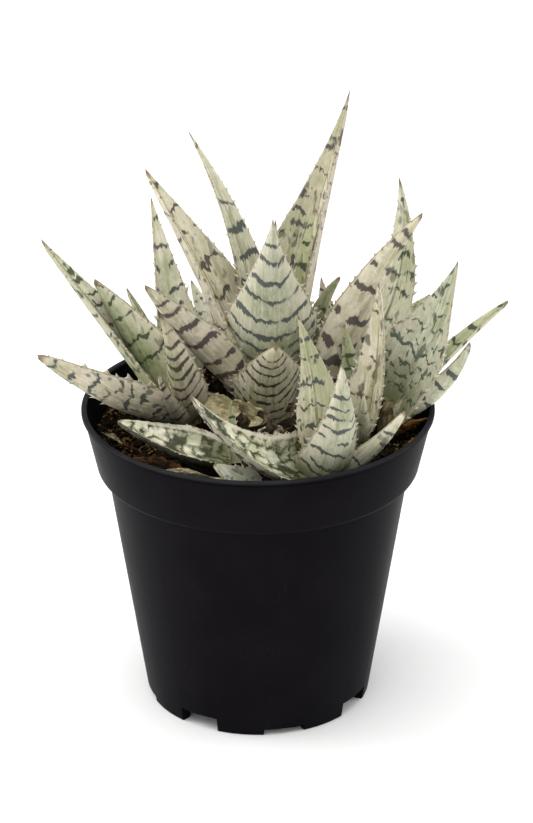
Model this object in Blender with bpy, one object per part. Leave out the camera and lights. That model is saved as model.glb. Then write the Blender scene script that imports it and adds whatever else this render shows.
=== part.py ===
"""Potted aloe: a clump of white-marked aloe rosettes in a black plastic nursery pot.

The pot stands on eight feet at z = 0, with its axis on +Z. -Y is the front. Each leaf is a blade with its
margin's teeth, cut clear of the stems, of the soil and of the leaves that are named before it.
"""

import math
import random
from collections import namedtuple

import bmesh
import bpy
import numpy as np
from mathutils import Matrix, Vector
from mathutils.bvhtree import BVHTree

# Driving dimensions, in millimetres. MM turns them into metres.
MM = 0.001

POT_HEIGHT = 107.0
RIM_RADIUS = 60.0
LIP_HEIGHT = 1.5
BAND_TOP_RADIUS = 59.2
BAND_FOOT_RADIUS = 55.0
BAND_HEIGHT = 21.0
BODY_TOP_RADIUS = 51.8
BASE_RADIUS = 38.8
WALL = 1.3
FLOOR_UNDERSIDE = 2.6
FLOOR_THICKNESS = 1.4
FOOT_RING_WIDTH = 4.2
GATE_BOSS_RADIUS = 8.0
POT_SIDES = 56

FEET = 8
FIRST_GAP_DEG = -76.5
GAP_SPAN_DEG = 21.0
SHALLOW_GAP_HEIGHT = 2.3
DEEP_GAP_HEIGHT = 5.4

SOIL_LEVEL = 96.4
SOIL_RELIEF = 1.3
SOIL_SIDES = 34
SOIL_RINGS = 7
SOIL_SEED = 7

STEM_SIDES = 10
STEM_DEPTH = 9.0
CLEARANCE = 0.4

# A crown is one stem of the clump: its axis on the soil, its radius and the height of its top.
Crown = namedtuple("Crown", "x y radius top")
CROWNS = {
    "main": Crown(4, 10, 5.5, 112),
    "inner_right": Crown(20, 10, 3.4, 108),
    "left": Crown(-24, 6, 4.5, 107),
    "front_left": Crown(-7, -33, 3.4, 99.5),
    "front": Crown(21, -33, 3.8, 103),
    "left_back": Crown(-30, 22, 3.0, 103),
    "right": Crown(44, -3, 3.4, 109),
    "right_front": Crown(35, -10, 3.0, 103),
    "front_edge": Crown(2, -46, 2.4, 99),
    "back": Crown(-8, 36, 4.0, 106),
    "back_right": Crown(28, 33, 3.8, 106),
}

# A leaf grows from its crown's stem at height z out to its tip. bow lifts its middle towards the upper face,
# sway moves its middle sideways and roll turns its upper face about its length, in degrees. taper is the power
# of its narrowing past its widest place, which is at that share of its length. cup is how far its edges stand
# above its middle, as a share of its width. teeth is the number on each edge.
Leaf = namedtuple("Leaf", "crown z tip width bow sway roll taper widest cup teeth tint")
LEAVES = {
    "main_front": Leaf("main", 111, (5, -9, 179), 31, 0, 0, -1, 1.30, 0.37, 0.20, 10, "cream"),
    "main_slim": Leaf("main", 110, (19, 14, 173), 15, -2, 0, 8, 0.75, 0.37, 0.30, 7, "green"),
    "main_tall": Leaf("main", 110, (31, 37, 207), 26, 2, -1, -10, 1.40, 0.40, 0.30, 10, "pink"),
    "main_back_left": Leaf("main", 108, (-24, 41, 191), 15, 4, -4, -5, 1.16, 0.29, 0.30, 9, "cream"),
    "main_left": Leaf("main", 106, (-38, 25, 183), 24, 1, -1, -4, 1.04, 0.36, 0.30, 9, "pink"),
    "main_left_low": Leaf("main", 104, (-37, -21, 160), 17, 0, -5, 28, 0.84, 0.46, 0.25, 9, "pink"),
    "main_cone": Leaf("main", 97, (6, -18, 137), 24, 3, -1, 7, 1.00, 0.45, 0.12, 6, "cream"),
    "main_right": Leaf("inner_right", 107, (55, 10, 173), 17, 3, 0, -60, 0.80, 0.40, 0.20, 9, "pink"),
    "main_back_right": Leaf("inner_right", 103, (48, 38, 175), 20, -10, -7, 28, 1.00, 0.38, 0.30, 8, "green"),
    "main_small_right": Leaf("inner_right", 106, (28, 24, 144), 10, 3, 4, -4, 0.66, 0.28, 0.30, 5, "green"),
    "left_upright": Leaf("left", 106, (-36, 22, 174), 17, 0, 0, 0, 1.10, 0.35, 0.25, 9, "cream"),
    "left_long": Leaf("left", 100, (-73, 14, 162), 18, 0, 0, -5, 1.06, 0.32, 0.25, 10, "pink"),
    "left_broad": Leaf("left", 103, (-55, 10, 149), 24, 0, -1, 45, 0.87, 0.48, 0.20, 8, "green"),
    "left_inner": Leaf("left", 102, (-32, -8, 144), 16, -3, 4, -1, 0.80, 0.34, 0.25, 7, "pink"),
    "left_small": Leaf("left_back", 102, (-45, 26, 139), 8, 1, -1, -3, 0.93, 0.26, 0.25, 4, "green"),
    "left_low": Leaf("left", 101, (-73, -19, 134), 17, -2, 5, 45, 0.64, 0.45, 0.20, 8, "pink"),
    "front_broad": Leaf("front", 96, (27, -43, 142), 22, -5, 0, -5, 0.96, 0.18, 0.25, 7, "cream"),
    "front_upright": Leaf("front", 102, (13, -15, 147), 17, 0, -2, -6, 1.16, 0.32, 0.30, 8, "green"),
    "front_arch": Leaf("front", 99, (-22, -41, 130), 22, -4, 10, -26, 0.99, 0.16, 0.30, 8, "cream"),
    "front_right_small": Leaf("front", 96, (48, -35, 121), 11, -3, 0, -38, 0.65, 0.27, 0.25, 5, "cream"),
    "front_trough": Leaf("front_left", 101, (-46, -34, 117), 16, -2, 0, -14, 0.70, 0.40, 0.30, 7, "cream"),
    "right_broad": Leaf("right", 107, (67, 7, 157), 26, 0, -3, 20, 1.24, 0.42, 0.20, 9, "green"),
    "right_slim": Leaf("right", 105, (85, 15, 139), 9, 1, 1, 0, 0.71, 0.28, 0.25, 6, "green"),
    "right_low": Leaf("right", 104, (71, -4, 132), 10.5, -4.8, 1, -50, 0.75, 0.37, 0.25, 6, "cream"),
    "right_upright": Leaf("right_front", 103, (40, -3, 153), 14, -2, -1, -3, 0.95, 0.28, 0.30, 7, "pink"),
    "right_front_small": Leaf("right_front", 99, (35, -27, 124), 6, -2, 0, 0, 0.80, 0.27, 0.25, 4, "pink"),
    "front_left_small": Leaf("front_left", 100, (-9, -25, 121), 5, -1, 0, 0, 0.90, 0.27, 0.25, 4, "green"),
    "front_tip": Leaf("front_edge", 97, (-14, -50, 109), 12, -1, 1, -32, 0.70, 0.35, 0.25, 4, "cream"),
    "left_thin": Leaf("left", 98, (-33, -20, 128), 7, -2, 0, 0, 0.80, 0.27, 0.25, 5, "pink"),
    "right_inner": Leaf("right_front", 102, (29, 4, 135), 10, -1, 0, 0, 0.80, 0.30, 0.25, 5, "green"),
    "main_behind": Leaf("main", 105, (6, 56, 152), 17, -3, 0, 0, 0.95, 0.30, 0.25, 6, "cream"),
    "back_left": Leaf("left_back", 102, (-52, 54, 122), 13, 0, 0, 0, 0.90, 0.30, 0.25, 5, "green"),
    "back_middle": Leaf("back", 104, (-4, 66, 138), 15, -3, 0, 0, 0.90, 0.30, 0.25, 6, "pink"),
    "back_upright": Leaf("back", 105, (-20, 42, 150), 11, -2, 0, 0, 0.95, 0.30, 0.30, 5, "cream"),
    "back_low": Leaf("back", 102, (-24, 68, 124), 12, -2, 0, 0, 0.80, 0.30, 0.25, 5, "cream"),
    "back_right_long": Leaf("back_right", 103, (42, 66, 132), 15, -1, 0, 0, 0.90, 0.30, 0.25, 6, "cream"),
    "back_right_side": Leaf("back_right", 103, (60, 46, 128), 14, 0, 0, 0, 0.90, 0.30, 0.25, 6, "green"),
    "back_right_upright": Leaf("back_right", 104, (22, 52, 132), 12, -2, 0, 0, 0.95, 0.30, 0.30, 5, "pink"),
}

LEAF_COLOURS = {
    "cream": (0.52, 0.53, 0.44),
    "green": (0.42, 0.47, 0.33),
    "pink": (0.55, 0.50, 0.44),
}
POT_COLOUR = (0.012, 0.011, 0.014)
SOIL_COLOUR = (0.045, 0.030, 0.018)
STEM_COLOUR = (0.30, 0.27, 0.17)

BASE_SHARE = 0.74
EDGE_POWER = 0.7
BLADE_LEAST = 0.8
BLADE_SHARE = 0.17
ACROSS = (-0.55, 0.0, 0.55)
LAST_STATION = 0.94
TOOTH_HEIGHT = 1.2
TOOTH_HALF = 0.9


def width_share(leaf, t):
    """A blade's width at t, as a share of its widest: a broad base, then a narrowing to the tip."""
    if t < leaf.widest:
        rise = t / leaf.widest
        return BASE_SHARE + (1 - BASE_SHARE) * rise * (2 - rise)
    return ((1 - t) / (1 - leaf.widest)) ** leaf.taper


def root_of(leaf):
    """Where a leaf's middle starts: inside its crown's stem, on the side that it leans to."""
    crown = CROWNS[leaf.crown]
    lean = np.array((leaf.tip[0] - crown.x, leaf.tip[1] - crown.y, 0.0))
    lean /= np.linalg.norm(lean)
    return np.array((crown.x, crown.y, leaf.z), float) + lean * 0.6 * crown.radius


def spine(leaf, t):
    """The place, tangent, side and normal of a leaf's middle at t."""
    root = root_of(leaf)
    chord = np.array(leaf.tip, float) - root
    along = chord / np.linalg.norm(chord)
    side = np.array((-chord[1], chord[0], 0.0))
    side /= np.linalg.norm(side)
    offset = leaf.bow * np.cross(along, side) + leaf.sway * side
    place = root + chord * t + offset * 4 * t * (1 - t)
    tangent = chord + offset * 4 * (1 - 2 * t)
    tangent /= np.linalg.norm(tangent)
    side = side - tangent * side.dot(tangent)
    side /= np.linalg.norm(side)
    normal = np.cross(tangent, side)
    turn = math.radians(leaf.roll)
    rolled = side * math.cos(turn) + normal * math.sin(turn)
    return place, tangent, rolled, np.cross(tangent, rolled)


def section(leaf, t):
    """The blade at t: its left edge, three points over its upper face, its right edge and three below."""
    place, _, side, normal = spine(leaf, t)
    width = leaf.width * width_share(leaf, t)
    thick = BLADE_LEAST + BLADE_SHARE * leaf.width * (1 - t) ** 0.8

    def point(across, below):
        height = leaf.cup * width * across ** 2 - below * thick * (1 - across ** 2) ** EDGE_POWER
        return place + side * (across * width / 2) + normal * height

    upper = [point(across, 0) for across in ACROSS]
    lower = [point(across, 1) for across in ACROSS]
    return point(-1, 0), upper, point(1, 0), lower


def toothed_edge(leaf, points, row, after, t, outward):
    """Triangles of one edge between two sections, with a tooth on it. Each row is its edge, over and under."""
    side = spine(leaf, t)[2]
    run = points[after[0]] - points[row[0]]
    reach = min(0.3, TOOTH_HALF / np.linalg.norm(run))
    height = outward * TOOTH_HEIGHT * min(1.0, 1.7 - 1.4 * t)
    edge = [row[0]]
    for share, out in ((0.5 - reach, 0), (0.56, height), (0.5 + reach, 0)):
        edge.append(len(points))
        points.append(points[row[0]] + run * share + side * out)
    edge.append(after[0])
    faces = []
    for k in (1, 2):
        inner = (points[row[k]] + points[after[k]]) / 2
        outer = points[row[0]] + run * 0.5
        middle = len(points)
        points.append(outer + (inner - outer) * 0.45)
        near, far = row[k], after[k]
        faces += [(near, edge[0], edge[1]), (near, edge[1], middle), (middle, edge[1], edge[2])]
        faces += [(middle, edge[2], edge[3]), (middle, edge[3], far), (far, edge[3], edge[4])]
        faces.append((near, middle, far))
    return faces


def blade(leaf):
    """A leaf's points and faces. Its faces are turned outwards later."""
    stations = [LAST_STATION * i / leaf.teeth for i in range(leaf.teeth + 1)]
    points, faces, rows = [], [], []
    for t in stations:
        left, upper, right, lower = section(leaf, t)
        base = len(points)
        points += [left, *upper, right, *lower]
        rows.append(range(base, base + 8))
    for row, after, t in zip(rows, rows[1:], stations):
        middle = t + LAST_STATION / leaf.teeth / 2
        for sides, outward in (((0, 1, 5), -1), ((4, 3, 7), 1)):
            start, end = [row[k] for k in sides], [after[k] for k in sides]
            faces += toothed_edge(leaf, points, start, end, middle, outward)
        for k in (1, 2, 5, 6):
            faces += [(row[k], row[k + 1], after[k + 1]), (row[k], after[k + 1], after[k])]
    first, last = rows[0], rows[-1]
    ring = (0, 5, 6, 7, 4, 3, 2, 1)
    faces.append([first[k] for k in ring])
    points.append(np.array(leaf.tip, float))
    for a, b in zip(ring, ring[1:] + ring[:1]):
        faces.append((last[a], last[b], len(points) - 1))
    return points, faces


def sleeve(leaf):
    """The points and faces of the room that a leaf takes up: its blade without teeth, grown on every side."""
    rings, faces = [], []
    for i in range(leaf.teeth + 1):
        t = LAST_STATION * i / leaf.teeth
        left, upper, right, lower = section(leaf, t)
        _, tangent, side, normal = spine(leaf, t)
        back = tangent * (CLEARANCE if t == 0 else 0)
        reach, rise = side * (TOOTH_HEIGHT + CLEARANCE), normal * CLEARANCE
        slope_left = (left - upper[0]) * (TOOTH_HEIGHT + CLEARANCE) / abs((left - upper[0]).dot(side))
        slope_right = (right - upper[2]) * (TOOTH_HEIGHT + CLEARANCE) / abs((right - upper[2]).dot(side))
        over = [left + slope_left + rise, *[p + rise for p in upper], right + slope_right + rise]
        under = [right + reach - rise, *[p - rise for p in lower[::-1]], left - reach - rise]
        ring = np.array(over + under) - back
        rings.append(ring)
    for k in range(len(rings) - 1):
        for i in range(10):
            a, b = k * 10 + i, k * 10 + (i + 1) % 10
            faces += [(a, b, b + 10), (a, b + 10, a + 10)]
    last = (len(rings) - 1) * 10
    tip = np.array(leaf.tip, float) + spine(leaf, 1.0)[1] * 2 * CLEARANCE
    faces.append(list(range(10)))
    faces += [(last + i, last + (i + 1) % 10, last + 10) for i in range(10)]
    return [*np.concatenate(rings), tip], faces


def mesh_object(name, points, faces):
    """A new object from points in millimetres, in triangles that face outwards."""
    mesh = bpy.data.meshes.new(name)
    mesh.from_pydata([Vector(p) * MM for p in points], [], [tuple(f) for f in faces])
    bm = bmesh.new()
    bm.from_mesh(mesh)
    bmesh.ops.triangulate(bm, faces=bm.faces)
    bmesh.ops.recalc_face_normals(bm, faces=bm.faces)
    bm.to_mesh(mesh)
    bm.free()
    obj = bpy.data.objects.new(name, mesh)
    bpy.context.scene.collection.objects.link(obj)
    return obj


def revolved(name, profile, sides):
    """A closed body turned from a profile of (radius, height) points that starts and ends on the axis."""
    points = [(0, 0, profile[0][1]), (0, 0, profile[-1][1])]
    faces = []
    rings = profile[1:-1]
    for radius, height in rings:
        for i in range(sides):
            turn = 2 * math.pi * i / sides
            points.append((radius * math.cos(turn), radius * math.sin(turn), height))
    for k in range(len(rings) - 1):
        for i in range(sides):
            a, b = 2 + k * sides + i, 2 + k * sides + (i + 1) % sides
            faces.append((a, b, b + sides, a + sides))
    last = 2 + (len(rings) - 1) * sides
    for i in range(sides):
        faces.append((0, 2 + (i + 1) % sides, 2 + i))
        faces.append((1, last + i, last + (i + 1) % sides))
    return mesh_object(name, points, faces)


def body_radius(height):
    """The pot body's outer radius at a height below its band."""
    return BASE_RADIUS + (BODY_TOP_RADIUS - BASE_RADIUS) * height / (POT_HEIGHT - BAND_HEIGHT)


def band_radius(height):
    """The band's outer radius at a height between its foot and the lip."""
    foot = POT_HEIGHT - BAND_HEIGHT
    rise = (height - foot) / (BAND_HEIGHT - LIP_HEIGHT)
    return BAND_FOOT_RADIUS + (BAND_TOP_RADIUS - BAND_FOOT_RADIUS) * rise


def inner_profile(inset, top):
    """The pot's inside, from its floor up to a height in the band, moved inwards by an inset."""
    floor = FLOOR_UNDERSIDE + FLOOR_THICKNESS + inset
    ledge = POT_HEIGHT - BAND_HEIGHT + inset
    wall = WALL + inset
    return [
        (body_radius(floor) - wall - 1.2, floor),
        (body_radius(floor + 1.2) - wall, floor + 1.2),
        (body_radius(ledge - 2.0) - wall, ledge - 2.0),
        (body_radius(ledge) - wall + 0.4, ledge - 0.6),
        (band_radius(ledge + 1.2) - wall - 1.2, ledge),
        (band_radius(ledge + 1.2) - wall, ledge + 1.2),
        (band_radius(top) - wall, top),
    ]


def make_pot():
    """The pot: a thin shell with a deep band under its rim, eight feet and a gate boss under its floor."""
    foot = POT_HEIGHT - BAND_HEIGHT
    lip = POT_HEIGHT - LIP_HEIGHT
    outside = [
        (0, 0),
        (GATE_BOSS_RADIUS, 0),
        (GATE_BOSS_RADIUS + 0.5, FLOOR_UNDERSIDE),
        (BASE_RADIUS - FOOT_RING_WIDTH, FLOOR_UNDERSIDE),
        (BASE_RADIUS - FOOT_RING_WIDTH + 0.3, 0),
        (BASE_RADIUS - 0.5, 0),
        (BASE_RADIUS, 0.5),
        (body_radius(foot - 1.4), foot - 1.4),
        (BAND_FOOT_RADIUS - 1.6, foot - 1.2),
        (BAND_FOOT_RADIUS - 0.4, foot - 0.5),
        (BAND_FOOT_RADIUS, foot + 0.6),
        (BAND_TOP_RADIUS, lip - 0.3),
        (RIM_RADIUS, lip),
        (RIM_RADIUS, POT_HEIGHT - 0.4),
        (RIM_RADIUS - 0.4, POT_HEIGHT),
        (RIM_RADIUS - 1.5, POT_HEIGHT),
        (RIM_RADIUS - 1.9, POT_HEIGHT - 0.4),
    ]
    inside = inner_profile(0, lip - 1.0)[::-1]
    pot = revolved("pot", outside + inside + [(0, inside[-1][1])], POT_SIDES)
    cutter = foot_gaps()
    boolean(pot, cutter, "DIFFERENCE")
    bpy.data.objects.remove(cutter)
    return pot


def foot_gaps():
    """The wedges cut from the pot's lower edge: eight gaps between its feet, in turn shallow and deep."""
    points, faces = [], []
    half = math.radians(GAP_SPAN_DEG / 2)
    for i in range(FEET):
        middle = math.radians(FIRST_GAP_DEG + i * 360 / FEET)
        top = DEEP_GAP_HEIGHT if i % 2 else SHALLOW_GAP_HEIGHT
        base = len(points)
        for height in (-1.0, top):
            for radius, turn in ((34.0, -half), (45.0, -half), (45.0, half), (34.0, half)):
                around = middle + turn
                points.append((radius * math.cos(around), radius * math.sin(around), height))
        for face in ((3, 2, 1, 0), (4, 5, 6, 7), (0, 1, 5, 4), (1, 2, 6, 5), (2, 3, 7, 6), (3, 0, 4, 7)):
            faces.append([base + k for k in face])
    return mesh_object("foot_gaps", points, faces)


def soil_height(x, y, draw):
    """The soil's uneven top, a little higher towards the middle of the pot."""
    swell = math.sin(x / 9.0 + 1.0) * math.cos(y / 11.0) + 0.6 * math.sin((x + y) / 5.5)
    return SOIL_LEVEL + SOIL_RELIEF * (0.45 * swell + 0.5 * draw.uniform(-1, 1))


def make_soil():
    """The soil that fills the pot, with an uneven top."""
    draw = random.Random(SOIL_SEED)
    profile = inner_profile(CLEARANCE, SOIL_LEVEL - 1.5)
    points = [(0, 0, profile[0][1])]
    faces = []
    rings = [(r, z) for r, z in profile]
    for radius, height in rings:
        for i in range(SOIL_SIDES):
            turn = 2 * math.pi * i / SOIL_SIDES
            points.append((radius * math.cos(turn), radius * math.sin(turn), height))
    rim = rings[-1][0]
    for k in range(SOIL_RINGS):
        radius = (rim - 0.8) * (1 - k / SOIL_RINGS)
        for i in range(SOIL_SIDES):
            turn = 2 * math.pi * (i + 0.5 * (k % 2)) / SOIL_SIDES
            x, y = radius * math.cos(turn), radius * math.sin(turn)
            points.append((x, y, soil_height(x, y, draw)))
    points.append((0, 0, SOIL_LEVEL))
    count = len(rings) + SOIL_RINGS
    for k in range(count - 1):
        for i in range(SOIL_SIDES):
            a, b = 1 + k * SOIL_SIDES + i, 1 + k * SOIL_SIDES + (i + 1) % SOIL_SIDES
            faces.append((a, b, b + SOIL_SIDES, a + SOIL_SIDES))
    last = 1 + (count - 1) * SOIL_SIDES
    for i in range(SOIL_SIDES):
        faces.append((0, 1 + (i + 1) % SOIL_SIDES, 1 + i))
        faces.append((len(points) - 1, last + i, last + (i + 1) % SOIL_SIDES))
    return mesh_object("soil", points, faces)


def make_stem(name, crown, grow=0.0):
    """A crown's short stem, from inside the soil up among its leaves, on its own axis."""
    foot = SOIL_LEVEL - STEM_DEPTH - grow
    top = crown.top + grow
    radius = crown.radius + grow
    profile = [
        (0, foot),
        (radius, foot),
        (radius, top - 4.0),
        (radius * 0.6, top - 1.0),
        (0, top),
    ]
    stem = revolved(name, profile, STEM_SIDES)
    stem.data.transform(Matrix.Translation((crown.x * MM, crown.y * MM, 0)))
    return stem


def grown(obj, by):
    """A copy of an object with its surface moved outwards."""
    copy = obj.copy()
    copy.data = obj.data.copy()
    bpy.context.scene.collection.objects.link(copy)
    bm = bmesh.new()
    bm.from_mesh(copy.data)
    moves = [(v, v.normal * (by * MM * min(v.calc_shell_factor(), 2.5))) for v in bm.verts]
    for vert, move in moves:
        vert.co += move
    bm.to_mesh(copy.data)
    bm.free()
    return copy


def tree_of(obj):
    """A search tree of an object's triangles."""
    return BVHTree.FromPolygons([v.co for v in obj.data.vertices], [p.vertices for p in obj.data.polygons])


def is_closed(mesh):
    """Whether a mesh has faces, each edge joins two of them and no bodies meet at a corner."""
    bm = bmesh.new()
    bm.from_mesh(mesh)
    closed = len(bm.faces) > 3 and all(len(edge.link_faces) == 2 for edge in bm.edges)
    closed = closed and all(vert.is_manifold for vert in bm.verts)
    bm.free()
    return closed


def boolean(obj, cutter, operation):
    """Applies one Boolean to an object's mesh, by the first solver that leaves it closed."""
    change = obj.modifiers.new("change", "BOOLEAN")
    change.operation = operation
    change.object = cutter
    for solver in ("MANIFOLD", "EXACT"):
        change.solver = solver
        view = bpy.context.evaluated_depsgraph_get()
        view.update()
        mesh = bpy.data.meshes.new_from_object(obj.evaluated_get(view))
        if is_closed(mesh):
            break
    obj.modifiers.clear()
    obj.data = mesh


def islands(bm):
    """The separate bodies of a mesh, as lists of faces."""
    left, found = set(bm.faces), []
    while left:
        stack, body = [left.pop()], []
        while stack:
            face = stack.pop()
            body.append(face)
            for edge in face.edges:
                for other in edge.link_faces:
                    if other in left:
                        left.discard(other)
                        stack.append(other)
        found.append(body)
    return found


def body_volume(faces):
    """The volume inside a closed set of triangles."""
    total = 0.0
    for face in faces:
        a, b, c = (v.co for v in face.verts)
        total += a.dot(b.cross(c)) / 6
    return abs(total)


def tidied(obj, flat_deg):
    """A mesh of the largest body of an object, in triangles. Nearly flat runs of them are joined first."""
    bm = bmesh.new()
    bm.from_mesh(obj.data)
    bmesh.ops.triangulate(bm, faces=bm.faces)
    bodies = sorted(islands(bm), key=body_volume)
    scraps = [face for body in bodies[:-1] for face in body]
    if scraps:
        bmesh.ops.delete(bm, geom=scraps, context="FACES")
        loose = [v for v in bm.verts if not v.link_faces]
        bmesh.ops.delete(bm, geom=loose, context="VERTS")
    if flat_deg:
        bmesh.ops.dissolve_degenerate(bm, dist=0.02 * MM, edges=bm.edges)
        bmesh.ops.dissolve_limit(bm, angle_limit=math.radians(flat_deg), verts=bm.verts, edges=bm.edges)
    bmesh.ops.triangulate(bm, faces=bm.faces)
    bmesh.ops.recalc_face_normals(bm, faces=bm.faces)
    mesh = bpy.data.meshes.new(obj.name)
    bm.to_mesh(mesh)
    bm.free()
    return mesh


def keep_largest(obj):
    """Drops the scraps that a cut leaves, and joins flat triangles where the mesh stays closed."""
    for flat_deg in (0.8, 0.2, 0):
        mesh = tidied(obj, flat_deg)
        if is_closed(mesh):
            break
    obj.data = mesh


def paint(obj, name, colour, roughness):
    """Gives an object its own plain material."""
    material = bpy.data.materials.new(name)
    material.use_nodes = True
    shader = material.node_tree.nodes["Principled BSDF"]
    shader.inputs["Base Color"].default_value = (*colour, 1.0)
    shader.inputs["Roughness"].default_value = roughness
    material.diffuse_color = (*colour, 1.0)
    obj.data.materials.clear()
    obj.data.materials.append(material)


def make_leaves(cutters):
    """Every leaf, each cut clear of the cutters given and of the leaves before it."""
    kept = [(cutter, tree_of(cutter)) for cutter in cutters]
    grown_leaves = []
    for name, leaf in LEAVES.items():
        obj = mesh_object("leaf_" + name, *blade(leaf))
        whole = mesh_object("room_" + name, *sleeve(leaf))
        tree = tree_of(obj)
        for cutter, other in kept:
            if tree.overlap(other):
                boolean(obj, cutter, "DIFFERENCE")
        keep_largest(obj)
        paint(obj, "leaf_" + name, LEAF_COLOURS[leaf.tint], 0.5)
        kept.append((whole, tree_of(whole)))
        grown_leaves.append(whole)
    for whole in grown_leaves:
        bpy.data.objects.remove(whole)


def main():
    for obj in list(bpy.data.objects):
        bpy.data.objects.remove(obj)
    paint(make_pot(), "pot", POT_COLOUR, 0.42)
    soil = make_soil()
    cutters = [grown(soil, CLEARANCE)]
    for name, crown in CROWNS.items():
        stem = make_stem("stem_" + name, crown)
        paint(stem, "stem_" + name, STEM_COLOUR, 0.6)
        wide = make_stem("hole_" + name, crown, CLEARANCE)
        boolean(soil, wide, "DIFFERENCE")
        cutters.append(wide)
    keep_largest(soil)
    paint(soil, "soil", SOIL_COLOUR, 0.95)
    make_leaves(cutters)
    for cutter in cutters:
        bpy.data.objects.remove(cutter)


main()
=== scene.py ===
"""The look of the potted aloe: fine leaves with bands and teeth, crumbly soil and a moulded black pot."""

import math
import random
from collections import namedtuple

import bmesh
import bpy
import numpy as np
from mathutils import Matrix, Vector, noise


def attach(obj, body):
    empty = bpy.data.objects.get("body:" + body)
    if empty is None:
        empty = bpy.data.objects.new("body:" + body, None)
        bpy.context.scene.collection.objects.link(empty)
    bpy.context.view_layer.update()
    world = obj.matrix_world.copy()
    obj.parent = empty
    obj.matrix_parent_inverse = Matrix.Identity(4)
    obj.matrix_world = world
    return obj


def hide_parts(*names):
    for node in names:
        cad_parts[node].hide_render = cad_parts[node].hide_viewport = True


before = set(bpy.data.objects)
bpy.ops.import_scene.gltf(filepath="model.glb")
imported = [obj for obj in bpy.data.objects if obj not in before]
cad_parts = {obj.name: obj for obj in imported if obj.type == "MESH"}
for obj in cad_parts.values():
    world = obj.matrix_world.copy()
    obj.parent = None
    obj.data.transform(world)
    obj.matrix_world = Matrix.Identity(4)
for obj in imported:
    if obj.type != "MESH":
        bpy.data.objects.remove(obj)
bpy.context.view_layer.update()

# Sizes are in millimetres, as in the part's source. MM turns them into metres.
MM = 0.001

# The crowns and leaves repeat the part's source.
Crown = namedtuple("Crown", "x y radius top")
CROWNS = {
    "main": Crown(4, 10, 5.5, 112),
    "inner_right": Crown(20, 10, 3.4, 108),
    "left": Crown(-24, 6, 4.5, 107),
    "front_left": Crown(-7, -33, 3.4, 99.5),
    "front": Crown(21, -33, 3.8, 103),
    "left_back": Crown(-30, 22, 3.0, 103),
    "right": Crown(44, -3, 3.4, 109),
    "right_front": Crown(35, -10, 3.0, 103),
    "front_edge": Crown(2, -46, 2.4, 99),
    "back": Crown(-8, 36, 4.0, 106),
    "back_right": Crown(28, 33, 3.8, 106),
}

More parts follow.
